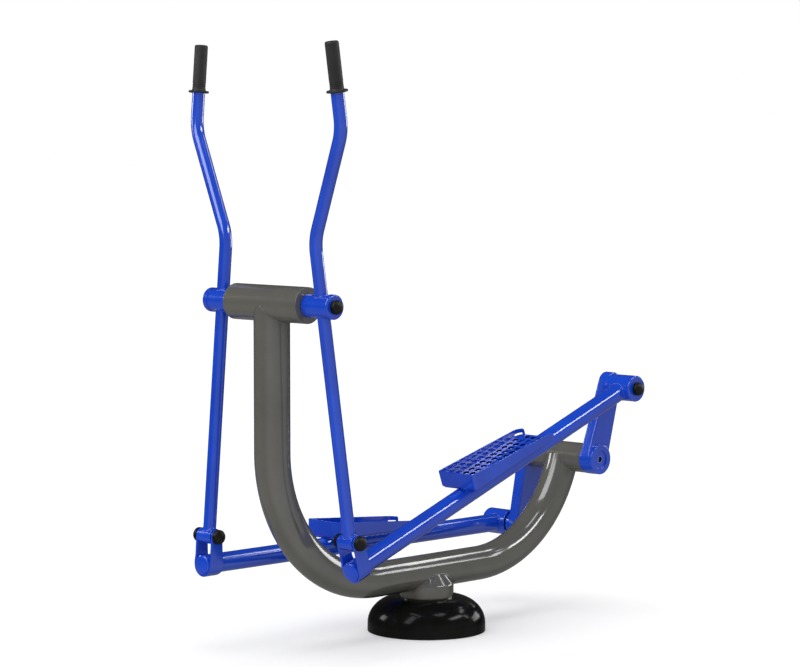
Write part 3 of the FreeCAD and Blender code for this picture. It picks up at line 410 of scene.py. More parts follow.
def powder_coat(name, base, dark, light, rough=(0.2, 0.3), coat=0.3, specular=0.5, peel=0.022, wear=None, specks=0.04):
    """Stoved powder paint: faint clouding, orange peel, tiny specks, and softly worn high edges."""
    m, nt, b = nodes_of(name)
    co = nt.nodes.new("ShaderNodeTexCoord").outputs["Object"]
    geo = nt.nodes.new("ShaderNodeNewGeometry")
    cloud = tex_noise(nt, co, 7.0, 4.0, 0.6)
    col = ramp(nt, cloud, [(0.32, dark), (0.5, base), (0.7, light)])
    speck = tex_noise(nt, co, 420.0, 2.0, 0.5)
    col = mix(nt, remap(nt, speck, 0.66, 0.78, 0.0, specks), col, tuple(min(1.0, c * 1.6 + 0.01) for c in base))
    if wear:
        point = geo.outputs["Pointiness"]
        rub = tex_noise(nt, co, 95.0, 5.0, 0.65)
        mask = times(nt, remap(nt, point, 0.54, 0.62, 0.0, 1.0), remap(nt, rub, 0.52, 0.68, 0.0, 1.0))
        col = mix(nt, times(nt, mask, 0.15), col, wear)
    nt.links.new(col, b.inputs["Base Color"])
    smear = tex_noise(nt, co, 26.0, 5.0, 0.6)
    fine = tex_noise(nt, co, 900.0, 1.5, 0.5)
    r = remap(nt, smear, 0.3, 0.72, rough[0], rough[1])
    nt.links.new(r, b.inputs["Roughness"])
    orange = tex_noise(nt, co, 620.0, 2.0, 0.45)
    n = bump(nt, orange, peel, 0.00006)
    n = bump(nt, fine, peel * 0.4, 0.00002, n)
    nt.links.new(n, b.inputs["Normal"])
    b.inputs["Coat Weight"].default_value = coat
    b.inputs["Coat Roughness"].default_value = 0.04
    b.inputs["Specular IOR Level"].default_value = specular
    b.inputs["Metallic"].default_value = 0.0
    return m


def moulded(name, base, light, rough=(0.3, 0.45), grain=700.0, depth=0.00008, strength=0.3, coat=0.0, specular=0.5, ribs=None):
    """Moulded plastic or rubber: fine grain, slight bloom."""
    m, nt, b = nodes_of(name)
    co = nt.nodes.new("ShaderNodeTexCoord").outputs["Object"]
    cloud = tex_noise(nt, co, 22.0, 5.0, 0.62)
    col = ramp(nt, cloud, [(0.35, base), (0.7, light)])
    nt.links.new(col, b.inputs["Base Color"])
    smear = tex_noise(nt, co, 48.0, 4.0, 0.6)
    nt.links.new(remap(nt, smear, 0.3, 0.7, rough[0], rough[1]), b.inputs["Roughness"])
    g = tex_noise(nt, co, grain, 3.0, 0.6)
    n = bump(nt, g, strength, depth)
    nt.links.new(n, b.inputs["Normal"])
    b.inputs["Coat Weight"].default_value = coat
    b.inputs["Coat Roughness"].default_value = 0.05
    b.inputs["Specular IOR Level"].default_value = specular
    return m


def metal(name, base, dark, rough=(0.25, 0.42), brush=(1.0, 60.0, 1.0), scale=60.0):
    """Bare or plated steel with turning marks."""
    m, nt, b = nodes_of(name)
    co = nt.nodes.new("ShaderNodeTexCoord").outputs["Object"]
    lines = tex_noise(nt, co, scale, 6.0, 0.7, brush)
    blot = tex_noise(nt, co, 30.0, 4.0, 0.6)
    col = ramp(nt, blot, [(0.3, dark), (0.65, base)])
    nt.links.new(col, b.inputs["Base Color"])
    nt.links.new(remap(nt, lines, 0.3, 0.7, rough[0], rough[1]), b.inputs["Roughness"])
    nt.links.new(bump(nt, lines, 0.25, 0.00004), b.inputs["Normal"])
    b.inputs["Metallic"].default_value = 1.0
    return m


BLUE = powder_coat("blue_powder_coat", shade((13, 70, 203)), shade((11, 65, 195)), shade((16, 76, 212)),
                   rough=(0.13, 0.17), coat=0.5, specks=0.02)
GREY = powder_coat("grey_powder_coat", shade((95, 94, 88)), shade((91, 90, 84)), shade((99, 98, 92)),
                   rough=(0.13, 0.17), coat=0.5, wear=shade((122, 121, 115)), specks=0.02)
BLACK_GLOSS = moulded("black_dome_plastic", shade((15, 15, 14)), shade((21, 21, 20)), rough=(0.13, 0.17), grain=260.0,
                      depth=0.00003, strength=0.03, coat=0.0, specular=0.09)
BLACK_CAP = moulded("black_cap_plastic", shade((14, 14, 10)), shade((22, 22, 17)), rough=(0.4, 0.52), grain=900.0,
                    depth=0.00006, strength=0.4, specular=0.2)
RUBBER = moulded("grip_rubber", shade((30, 30, 30)), shade((40, 40, 40)), rough=(0.55, 0.7), grain=1100.0, depth=0.00012,
                 strength=0.6, specular=0.35)
PLASTIC = moulded("bush_plastic", shade((150, 148, 140)), shade((172, 170, 160)), rough=(0.4, 0.55))
SHAFT = metal("turned_steel", (0.55, 0.55, 0.56), (0.42, 0.42, 0.43))
BEARING = metal("bearing_steel", (0.62, 0.62, 0.63), (0.5, 0.5, 0.51), rough=(0.15, 0.28))
ZINC = metal("zinc_plate", (0.66, 0.66, 0.64), (0.5, 0.5, 0.5), rough=(0.3, 0.45))
DARK = metal("black_oxide_steel", (0.045, 0.045, 0.048), (0.02, 0.02, 0.022), rough=(0.35, 0.5))
GALV = metal("galvanised_steel", (0.52, 0.53, 0.54), (0.36, 0.37, 0.38), rough=(0.38, 0.6), brush=(1, 1, 1), scale=45.0)
# painted shade: a near-black blue on the hole walls stands in for the shadow inside the pedal's punched holes
HOLE_SHADE = powder_coat("painted_hole_shade_coat", shade((3, 16, 92)), shade((2, 12, 80)), shade((5, 22, 108)),
                   rough=(0.4, 0.5), coat=0.0, specular=0.25, specks=0.0)
BY_SLOT = {
    "frame_grey": GREY, "blue_paint": BLUE, "base_steel": GALV, "dome_black": BLACK_GLOSS, "shaft_steel": SHAFT,
    "bearing_steel": BEARING, "zinc_steel": ZINC, "dark_steel": DARK, "cap_black": BLACK_CAP, "grip_rubber": RUBBER,
    "bush_plastic": PLASTIC,
}
SLOT_OF = {row["node"]: row["material_slot"] for row in frame["record"]["subparts"]}
for node_name, obj in frame["nodes"].items():
    for ms in obj.material_slots:
        ms.material = BY_SLOT[SLOT_OF[node_name]]

# ------------------------------------------------------------------ frame: bowed tube, crossbar, housing
ID = Matrix.Identity(4)
rise = math.acos(1.0 - (AXLE_Z - RUN_Z) / BEND)
REAR_X = AXLE_X + BEND * math.sin(rise)
FRONT_X = MAST_X - BEND
st = [(Vector((MAST_X, 0, BAR_Z)), -Z, R_MAIN), (Vector((MAST_X, 0, BAR_Z - 62)), -Z, R_MAIN)]
st.append((Vector((MAST_X, 0, RUN_Z + BEND)), -Z, R_MAIN))
for i in range(1, 45):
    a = -math.radians(2.0 * i)
    st.append((Vector((FRONT_X + BEND * math.cos(a), 0, RUN_Z + BEND + BEND * math.sin(a))),
               Vector((math.sin(a), 0, -math.cos(a))), R_MAIN))
st.append((Vector((FRONT_X, 0, RUN_Z)), -X, R_MAIN))
st.append((Vector((REAR_X, 0, RUN_Z)), -X, R_MAIN))
turns = 38
crop = 3.0 / BEND
for i in range(1, turns + 1):
    a = -0.5 * math.pi - (rise - crop) * i / turns
    st.append((Vector((REAR_X + BEND * math.cos(a), 0, RUN_Z + BEND + BEND * math.sin(a))),
               Vector((math.sin(a), 0, -math.cos(a))), R_MAIN))
for i in range(1, 7):                     # the rolled lip of the rear end
    q = 0.5 * math.pi * i / 6
    a = -0.5 * math.pi - rise + crop * (1 - math.sin(q))
    st.append((Vector((REAR_X + BEND * math.cos(a), 0, RUN_Z + BEND + BEND * math.sin(a))),
               Vector((math.sin(a), 0, -math.cos(a))), R_MAIN - 3.0 * (1 - math.cos(q))))


def mast_cope(q):
    dx = q.x - MAST_X
    return Vector((q.x, q.y, BAR_Z - math.sqrt(max(0.0, R_MAIN ** 2 - dx * dx)) + 0.25))


v, f = tube(st, Y, ID, seg=96, first=mast_cope, tip0=Vector((MAST_X, 0, BAR_Z - 20)))
bowed = make("bowed_main_tube", v, f, GREY, "frame", ["main_tube"], "frame_grey", even=False)

# the rear end is bored for the axle housing, so nothing of the tube stands in the housing's bore
cut = bpy.data.meshes.new("housing_bore")
cv, cf = lathe([(0, -60.0), (35.0, -60.0), (35.0, 60.0), (0, 60.0)], aim((AXLE_X, 0, AXLE_Z), Y), 112)
cut.from_pydata([tuple(c * MM for c in q) for q in cv], [], cf)
bm = bmesh.new()
bm.from_mesh(cut)
bmesh.ops.remove_doubles(bm, verts=bm.verts, dist=2e-7)
bmesh.ops.dissolve_degenerate(bm, dist=1e-7, edges=bm.edges)
bmesh.ops.recalc_face_normals(bm, faces=bm.faces)
bm.to_mesh(cut)
bm.free()
cutter = bpy.data.objects.new("housing_bore", cut)
bpy.context.scene.collection.objects.link(cutter)
bore = bowed.modifiers.new("housing_bore", "BOOLEAN")
bore.operation = "DIFFERENCE"
bore.solver = "EXACT"
bore.object = cutter
bpy.context.view_layer.update()
bored = bpy.data.meshes.new_from_object(bowed.evaluated_get(bpy.context.evaluated_depsgraph_get()))
bowed.modifiers.remove(bore)
bpy.data.objects.remove(cutter)
bpy.data.meshes.remove(cut)
bored.polygons.foreach_set("use_smooth", [True] * len(bored.polygons))
bored.set_sharp_from_angle(angle=math.radians(40.0))
bowed.data = bored
even = bowed.modifiers.new("even_normals", "WEIGHTED_NORMAL")
even.keep_sharp = True
even.weight = 80

bar = lathe(soften([(0, -122.0), (R_MAIN, -122.0), (R_MAIN, 122.0), (0, 122.0)], [0, 0.5, 0.5, 0], steps=3),
            aim((MAST_X, 0, BAR_Z), Y), 128)
make("crossbar_skin", *bar, GREY, "frame", ["crossbar_tube"], "frame_grey")
ends = []
for s in (1, -1):
    ends.append(lathe(soften([(12.5, 0.0), (R_MAIN, 0.0), (R_MAIN, 6.0), (12.5, 6.0)], [0.2, 0.5, 1.4, 0.4], closed=True, steps=4),
                      aim((MAST_X, s * 122.0, BAR_Z), Y * s), 128, loop=True))
make("crossbar_end_discs", *join(*ends), GREY, "frame", ["crossbar_end_plates"], "frame_grey")

hous = lathe(soften([(31.0, -92.5), (39.5, -92.5), (39.5, 92.5), (31.0, 92.5)], [0.6, 1.2, 1.2, 0.6], closed=True, steps=4),
             aim((AXLE_X, 0, AXLE_Z), Y), 112, loop=True)
make("rear_housing_skin", *hous, GREY, "frame", ["rear_axle_housing"], "frame_grey")

# welds of the grey frame
beads = []
for s in (1, -1):
    pts = []
    for i in range(181):
        th = math.pi * i / 180
        pts.append((MAST_X + R_MAIN * math.cos(th), s * R_MAIN * math.sin(th), BAR_Z - R_MAIN * math.sin(th)))
    beads.append(bead(pts, (MAST_X, 0, 0), Z, 2.3, ID, closed=False, taper=lambda u: 0.15 + 0.85 * min(1.0, math.sin(math.pi * u) * 2.2), seed=s))
end_dir = Vector((math.sin(-0.5 * math.pi - rise), 0, -math.cos(-0.5 * math.pi - rise)))
end_nrm = Y.cross(end_dir)
lim = math.acos(39.5 / R_MAIN)
for s in (1, -1):
    pts = []
    for i in range(161):
        th = lim + (math.pi - 2 * lim) * i / 160
        n, y = R_MAIN * math.cos(th), R_MAIN * math.sin(th)
        back = math.sqrt(max(0.0, 39.5 ** 2 - n * n))
        pts.append(Vector((AXLE_X, s * y, AXLE_Z)) + end_nrm * n - end_dir * back)
    beads.append(bead(pts, (AXLE_X, 0, AXLE_Z), end_dir, 2.4, ID, closed=False, taper=lambda u: 0.5 + 0.5 * min(1.0, math.sin(math.pi * u) * 3), seed=3 + s))

# stub post with its drawn-in shoulder, and the weld that carries the bowed tube
POST = soften([(0, 12.0), (70.0, 12.0), (70.0, 121.0), (47.0, 149.0), (0, 149.0)], [0, 0.8, 9.0, 1.2, 0], steps=9)
make("stub_post_skin", *lathe(POST, ID, 128), GREY, "frame", ["stub_post"], "frame_grey")


def post_radius(z):
    for (r0, z0), (r1, z1) in zip(POST, POST[1:]):
        if r0 > 1 and r1 > 1 and min(z0, z1) <= z <= max(z0, z1) and abs(z1 - z0) > 1e-9:
            return r0 + (r1 - r0) * (z - z0) / (z1 - z0)
    return 47.0


pts = []
for i in range(360):
    ph = TAU * i / 360
    lo, hi = 60.0, 149.0

    def gap(z):
        y = post_radius(z) * abs(math.sin(ph))
        dz = z - RUN_Z
        return math.hypot(y, dz) - R_MAIN

    if gap(hi) > 0:
        y = math.sqrt(R_MAIN ** 2 - (149.0 - RUN_Z) ** 2)
        pts.append((y / math.tan(ph) if abs(math.sin(ph)) > 1e-6 else 0.0, math.copysign(y, math.sin(ph)), 149.0))
        continue
    for _ in range(40):
        mid = 0.5 * (lo + hi)
        if gap(mid) > 0:
            lo = mid
        else:
            hi = mid
    z = 0.5 * (lo + hi)
    r = post_radius(z)
    pts.append((r * math.cos(ph), r * math.sin(ph), z))
beads.append(bead(pts, (0, 0, 0), Z, 2.3, ID, seed=9))
make("frame_welds", *join(*beads), GREY, "frame", slot="frame_grey")

# domed cover over the base
dome_out = [(152.0, 0.0)]
for i in range(33):
    a = 0.5 * math.pi * i / 32
    dome_out.append((71.5 + 80.5 * math.cos(a), 20.0 + 70.0 * math.sin(a)))
dome_in = []
for i in range(25):
    a = 0.5 * math.pi * (24 - i) / 24
    dome_in.append((71.5 + 77.5 * math.cos(a), 20.0 + 67.0 * math.sin(a)))
dome_in.append((149.0, 0.0))
prof = dome_out + dome_in
rad = [0.9] + [0] * 32 + [0.9] + [0.9] + [0] * 24 + [0.9]
make("base_dome_skin", *lathe(soften(prof, rad, closed=True, steps=4), ID, 160, loop=True), BLACK_GLOSS, "frame",
     ["base_dome_cover"], "dome_black")

# ------------------------------------------------------------------ cranks
for side, k in SIDES.items():
    s = k["s"]
    F = turn(AXLE_X, AXLE_Z, k["crank"])
    # the plate frame: a = local x, b = local z, thickness along +Y or -Y
    P = F @ Matrix(((1, 0, 0, 0), (0, 0, s, 0), (0, 1, 0, 0), (0, 0, 0, 1)))
    r0, r1, tip, reach = 40.4, 30.0, k["drift"], 209.5
    head, spread = math.atan2(reach, tip), math.acos((r0 - r1) / math.hypot(tip, reach))
    out = []
    for i in range(37):                       # round the tip, then round the root
        a = head - spread + 2 * spread * i / 36
        out.append((tip + r1 * math.cos(a), reach + r1 * math.sin(a)))
    for i in range(49):
        a = head + spread + (TAU - 2 * spread) * i / 48
        out.append((r0 * math.cos(a), r0 * math.sin(a)))
    make(side + "_crank_blade", *plate(out, 94.0, 126.5, 4.5, P, steps=6), BLUE, "crank", [side + "_crank_arm"], "blue_paint")
    lug = soften([(0, 123.0), (30.0, 123.0), (30.0, 137.0), (0, 137.0)], [0, 0, 2.0, 0], steps=5)
    make(side + "_crank_lug", *lathe(lug, aim((0, 0, 198.0), Y * s, F), 80), BLUE, "crank", [side + "_crank_arm"], "blue_paint")
    boss = [(0, 93.5), (40.0, 93.5), (40.0, 137.0), (24.0, 137.0), (24.0, 133.05), (8.4, 133.05), (8.4, 121.0), (0, 121.0)]
    boss = soften(boss, [0, 0.8, 2.2, 0.8, 0.6, 0.7, 0.3, 0], steps=5)
    make(side + "_crank_boss", *lathe(boss, aim((0, 0, 0), Y * s, F), 112), BLUE, "crank", [side + "_crank_arm"], "blue_paint")
    pin = soften([(0, 94.0), (10.0, 94.0), (10.0, 206.0), (0, 206.0)], [0, 0, 1.8, 0], steps=4)
    make(side + "_crank_pin_skin", *lathe(pin, aim((0, 0, 198.0), Y * s, F), 64), SHAFT, "crank", [side + "_crank_pin"], "shaft_steel")

heads = []
for side, k in SIDES.items():                # socket bolts of the axle, deep in the boss
    head = soften([(0, 108.0), (7.9, 108.0), (7.9, 130.6), (6.9, 130.6), (6.5, 121.0), (0, 120.0)], [0, 0, 0.7, 0.3, 0.8, 0], steps=4)
    heads.append(lathe(head, aim((0, 0, 0), Y * k["s"], turn(AXLE_X, AXLE_Z, k["crank"])), 48))
make("axle_bolt_skins", *join(*heads), BLACK_CAP, "crank", ["crank_axle_bolts"], "dark_steel")

# ------------------------------------------------------------------ levers
for side, k in SIDES.items():
    s = k["s"]
    body = side + "_lever"
    F = turn(MAST_X, BAR_Z, k["lean"])
    out = aim((0, 0, 0), Y * s, F)
    sleeve = soften([(23.5, 130.0), (28.75, 130.0), (28.75, 203.4), (23.5, 203.4)], [0.4, 0.9, 0.3, 0.3], closed=True, steps=4)
    make(side + "_sleeve_skin", *lathe(sleeve, out, 96, loop=True), BLUE, body, [side + "_pivot_sleeve"], "blue_paint")
    collar = soften([(16.0, 203.5), (30.15, 203.5), (30.15, 219.5), (16.0, 219.5)], [0.2, 0.7, 4.2, 0.5], closed=True, steps=8)
    make(side + "_collar_skin", *lathe(collar, out, 96, loop=True), BLUE, body, [side + "_sleeve_collar"], "blue_paint")
    cap = [(0, 215.0), (15.9, 215.0), (15.9, 219.5), (17.2, 219.5), (17.2, 226.0)] + dome_profile(17.2, 236.9, 226.4, n=14, power=0.95)
    make(side + "_sleeve_cap_skin", *lathe(cap, out, 72), BLACK_CAP, body, [side + "_sleeve_cap"], "cap_black")

    # upper tube with its double bend
    y0, y1 = s * LEVER_Y, s * FLARE_Y
    route = line_and_arcs([(y0, 20.0), (y0, 158.3), (y1, 421.7), (y1, 513.0)], [0, 130.0, 130.0, 0], step=2.5)
    stations = [(Vector((0, p.x, p.y)), Vector((0, t.x, t.y)), 16.0) for p, t in route]
    stations.insert(1, (Vector((0, y0, 36.0)), Z, 16.0))
    stations[-1] = (stations[-1][0] - Z * 0.8, stations[-1][1], 16.0)
    stations.append((Vector((0, y1, 513.0)), Z, 15.2))

    def up_cope(q):
        return Vector((q.x, q.y, math.sqrt(28.75 ** 2 - q.x * q.x) - 0.5))

    make(side + "_lever_upper_skin", *tube(stations, X, F, seg=56, first=up_cope, tip0=Vector((0, y0, 25.5))), BLUE, body,
         [side + "_lever_upper"], "blue_paint")

    def low_top(q):
        return Vector((q.x, q.y, -math.sqrt(28.75 ** 2 - q.x * q.x) + 0.5))

    def low_foot(q):
        return Vector((q.x, q.y, -582.0 + math.sqrt(19.5 ** 2 - q.x * q.x) - 0.5))

    stations = [(Vector((0, y0, h)), -Z, 16.0) for h in (-20.0, -40.0, -200.0, -380.0, -540.0, -570.0)]
    make(side + "_lever_lower_skin", *tube(stations, X, F, seg=56, first=low_top, last=low_foot,
         tip0=Vector((0, y0, -25.5)), tip1=Vector((0, y0, -565.5))), BLUE, body, [side + "_lever_lower"], "blue_paint")
    tee = soften([(11.0, -22.8), (19.5, -22.8), (19.5, 22.8), (11.0, 22.8)], [0.4, 1.1, 1.1, 0.4], closed=True, steps=4)
    make(side + "_lower_tee_skin", *lathe(tee, aim((0, y0, -582.0), Y, F), 80, loop=True), BLUE, body,
         [side + "_lower_sleeve"], "blue_paint")

    # grip: flange, thin ribs near the flange end, rounded top
    g = [(12.6, 0.0), (25.5, 0.0), (25.5, 5.0), (18.4, 5.4), (16.6, 9.0)]
    gr = [0.3, 1.6, 1.7, 1.4, 2.0]
    for c in (15.0, 19.0, 23.0):
        g += [(16.6, c - 1.2), (15.9, c - 0.7), (15.9, c + 0.7), (16.6, c + 1.2)]
        gr += [0.3, 0.3, 0.3, 0.3]
    g += [(16.6, 118.9), (0, 118.9), (0, 114.4), (12.6, 114.4)]
    gr += [4.6, 0, 0, 0.3]
    prof = soften(g, gr, closed=True, steps=6)
    prof = [p for p in prof]
    # split the loop so that it starts and ends on the axis
    start = max(i for i, p in enumerate(prof) if p[0] < 1e-6 and p[1] < 116)
    prof = prof[start:] + prof[:start]
    make(side + "_grip_skin", *lathe(prof, aim((0, y1, 512.0), Z, F), 72), RUBBER, body, [side + "_grip"], "grip_rubber")

    beads = []
    for radius, top, sgn, base in ((28.75, 0.0, 1, 0.0), (28.75, 0.0, -1, 0.0), (19.5, -582.0, 1, -582.0)):
        pts = []
        for i in range(200):
            th = TAU * i / 200
            x = 16.0 * math.cos(th)
            pts.append((x, y0 + 16.0 * math.sin(th), base + sgn * math.sqrt(radius ** 2 - x * x)))
        beads.append(bead(pts, (0, y0, 0), Z, 1.7, F, pitch=2.9, seed=radius + sgn))
    make(side + "_lever_welds", *join(*beads), BLUE, body, slot="blue_paint")


# ------------------------------------------------------------------ pedal arms
def clevis_mesh(F, ay):
    """A strap bent into a U under the arm tube, both ears rounded round the pin."""
    rm, th = 27.15, 6.0
    quarter = 0.5 * math.pi * rm
    pu, pw, er = PIVOT_U, PIVOT_W, 17.0
    f0, f1 = 1053.0, 1097.0

    def tangent(cx, cz, px, pz, r, sign):
        dx, dz = px - cx, pz - cz
        return math.atan2(dz, dx) + sign * math.acos(r / math.hypot(dx, dz))

    ta, tb = tangent(pu, pw, f1 - 3.0, 22.0, er, 1), tangent(pu, pw, f0 + 3.0, 22.0, er, -1)
    rows = []                                    # (u rear, s rear, u front, s front), from the bottom to one tip
    for deg in (0, 6, 12, 18, 23, 30, 38, 46, 54, 62, 72, 81, 90):
        if deg <= 23:
            u = 1058.4 + (1057.0 - 1058.4) * deg / 23
        elif deg <= 54:
            u = 1057.0 - 4.0 * (deg - 23) / 31
        else:
            u = f0
        sv = rm * math.radians(deg)
        rows.append((u, sv, f1, sv))
    rows.append((f0, quarter + 6.0, f1, quarter + 6.0))
    rows.append((f0 + 0.8, quarter + 11.0, f1 - 0.8, quarter + 11.0))
    rows.append((f0 + 3.0, quarter + 22.0, f1 - 3.0, quarter + 22.0))
    tb2 = tb if tb > ta else tb + TAU
    mid = 0.5 * (ta + tb2)
    steps = 14
    for i in range(steps + 1):
        a = ta + (mid - ta) * i / steps
        b = tb2 + (mid - tb2) * i / steps
        rows.append((pu + er * math.cos(b), quarter + pw + er * math.sin(b), pu + er * math.cos(a), quarter + pw + er * math.sin(a)))
    full = [(r[0], -r[1], r[2], -r[3]) for r in reversed(rows[1:])] + rows
    rear = [Vector((r[0], r[1])) for r in full]
    front = [Vector((r[2], r[3])) for r in full]
    loop = rear + list(reversed(front[1:-1]))     # closed outline in the flat
    n = len(loop)
    m = len(rear)
    normals = []
    for i in range(n):
        d = loop[(i + 1) % n] - loop[i - 1]
        d.normalize()
        normals.append(Vector((-d.y, d.x)))
    c = Vector((0.5 * (f0 + f1), 0))
    flip = -1.0 if (loop[m // 2] - c).dot(normals[m // 2]) < 0 else 1.0
    e = 1.3

    def fold(u, sv, t):
        r = rm + t
        if abs(sv) <= quarter:
            a = sv / rm
            return Vector((u, ay + r * math.sin(a), -r * math.cos(a)))
        return Vector((u, ay + math.copysign(r, sv), abs(sv) - quarter))

    levels = []
    for i in range(5):
        a = 0.5 * math.pi * i / 4
        levels.append((e * (1 - math.sin(a)), -0.5 * th + e * (1 - math.cos(a))))
    levels = levels + [(q, -t) for q, t in reversed(levels)]
    verts, faces, rings = [], [], []
    for ins, t in levels:
        ring = []
        for p, nn in zip(loop, normals):
            q = p - nn * (ins * flip)
            ring.append(len(verts))
            verts.append(F @ fold(q.x, q.y, t))
        rings.append(ring)
    for a, b in zip(rings, rings[1:]):
        for i in range(n):
            j = (i + 1) % n
            faces.append([a[i], a[j], b[j], b[i]])
    # the two broad faces: rear point i pairs with front point i
    for ring in (rings[0], rings[-1]):
        def at(i, which):
            if i in (0, m - 1):
                return ring[i]
            return ring[i] if which == 0 else ring[n - i]
        for i in range(m - 1):
            quad = []
            for vtx in (at(i, 0), at(i + 1, 0), at(i + 1, 1), at(i, 1)):
                if vtx not in quad:
                    quad.append(vtx)
            faces.append(quad)
    return verts, faces


T0, T1, TW, W0, W1, TH = 366.0, 681.0, 61.0, 25.65, 68.9, 3.0
PITCH, HOLE = 22.0, 8.0
BACK, SLOT_TOP, SLOT_AT = 3.0, 34.5, math.radians(14.3)


def slope_top(u):
    if u <= 375.0:
        return 45.0 + 0.6 * (u - 346.0) / 29.0
    return 45.6 + (W1 - 45.6) * (u - 375.0) / (682.0 - 375.0)


def pedal_mesh(F, ay):
    """Folded and perforated sheet tray, open at the rear, with a returned corner on one side."""
    path = []                                    # (point, inward normal, top height)

    def arc(cx, cy, r, a0, a1, n):
        for i in range(n + 1):
            a = a0 + (a1 - a0) * i / n
            path.append((Vector((cx + r * math.cos(a), cy + r * math.sin(a))), Vector((-math.cos(a), -math.sin(a)))))

    for y in (-39.0, -39.35, -40.2, -41.0):
        path.append((Vector((T0, y)), Vector((1, 0))))
    arc(T0 + 20, -TW + 20, 20.0, math.pi, math.pi + SLOT_AT, 3)
    slot_from = len(path) - 1
    path.pop()
    arc(T0 + 20, -TW + 20, 20.0, math.pi + SLOT_AT, 1.5 * math.pi, 13)
    slot_to = len(path) - 1
    for i in range(1, 12):
        path.append((Vector((T0 + 20 + (T1 - 9 - T0 - 20) * i / 12, -TW)), Vector((0, 1))))
    arc(T1 - 9, -TW + 9, 9.0, 1.5 * math.pi, TAU, 9)
    for i in range(1, 6):
        path.append((Vector((T1, -TW + 9 + (2 * TW - 18) * i / 6)), Vector((-1, 0))))
    arc(T1 - 9, TW - 9, 9.0, 0.0, 0.5 * math.pi, 9)
    for u in (650, 620, 590, 560, 530, 500, 470, 440, 410, 392, 386, 382, 380, 377, 374, 371.5, 371, 369.5, 368, 367, 366.3, 366.0):
        path.append((Vector((float(u), TW)), Vector((0, -1))))

    length = [0.0]
    for (p, _), (q, _) in zip(path, path[1:]):
        length.append(length[-1] + (q - p).length)

    def top_at(i):
        p = path[i][0]
        h = slope_top(p.x)
        if p.y > 60.9:                           # the tail of the +Y wall is cut down
            if p.x < 382:
                h = min(h, 40.65 + (45.4 - 40.65) * (p.x - 371.0) / 11.0 if p.x > 371 else 35.65 + 5.0 * (p.x - 366.0) / 5.0)
        d = length[i]
        if d < 4.0:
            h -= 4.0 - math.sqrt(max(0.0, 16.0 - (4.0 - d) ** 2))
        return h

    ri, ro, b = 1.0, 4.0, 1.3
    verts, faces = [], []

    def put(p, w):
        verts.append(F @ Vector((p.x, ay + p.y, w)))
        return len(verts) - 1

    # one section: 0-5 outer bend up to the floor's level, 6 bend end, 7 slot top, 8-16 rounded edge, 17 slot top,
    # 18-22 inner bend
    rings = []
    for i, (p, nrm) in enumerate(path):
        top = top_at(i)
        sec = []
        for j in range(6):
            a = math.acos(0.25) * j / 5
            sec.append((ro - ro * math.sin(a), W0 + ro - ro * math.cos(a)))
        slot = min(SLOT_TOP, top - 0.5 * TH - 0.2)
        sec += [(0.0, W0 + ro), (0.0, slot)]
        for j in range(9):
            a = math.pi * j / 8
            sec.append((0.5 * TH - 0.5 * TH * math.cos(a), top - 0.5 * TH + 0.5 * TH * math.sin(a)))
        sec.append((TH, slot))
        for j in range(5):
            a = 0.5 * math.pi * j / 4
            sec.append((TH + ri - ri * math.cos(a), W0 + TH + ri - ri * math.sin(a)))
        rings.append([put(p + nrm * d, w) for d, w in sec])
    last = len(rings[0]) - 1
    for i, (a, c) in enumerate(zip(rings, rings[1:])):
        if slot_from <= i < slot_to:
            runs = [list(range(0, 6)) + [last], list(range(7, 18)) + [7]]
        else:
            runs = [list(range(last + 1))]
        for run in runs:
            for j0, j1 in zip(run, run[1:]):
                faces.append([a[j0], a[j1], c[j1], c[j0]])
    for i in (slot_from, slot_to):               # the two ends of the slot
        faces.append([rings[i][q] for q in [5, 6, 7] + list(range(17, last + 1))])
    faces.append(list(rings[0]))
    faces.append(list(reversed(rings[-1])))

    # floor: cells with a hole each, and a margin up to the bends
    lip = 0.5
    nseg = 32
    us = [T0 + 14.5 + PITCH * i for i in range(14)]
    ys = [PITCH * (j - 2) for j in range(5)]
    ub = [us[0] - 8.9] + [us[i] + 11 for i in range(13)] + [us[13] + 9.6]
    yb = [ys[0] - 9.5] + [ys[j] + 11 for j in range(4)] + [ys[4] + 9.5]
    top_w, low_w, back_w = W0 + TH, W0, W0 - BACK
    cells = {(i, j) for i in range(14) for j in range(5)}
    blind = {(0, 0)}

    def square(i, j):
        """Border points of a cell, 8 to a side, starting at the angle of -45 degrees."""
        x0, x1, y0, y1 = ub[i], ub[i + 1], yb[j], yb[j + 1]
        pts = []
        for a, b2 in (((x1, y0), (x1, y1)), ((x1, y1), (x0, y1)), ((x0, y1), (x0, y0)), ((x0, y0), (x1, y0))):
            for q in range(8):
                pts.append(Vector((a[0] + (b2[0] - a[0]) * q / 8, a[1] + (b2[1] - a[1]) * q / 8)))
        return pts

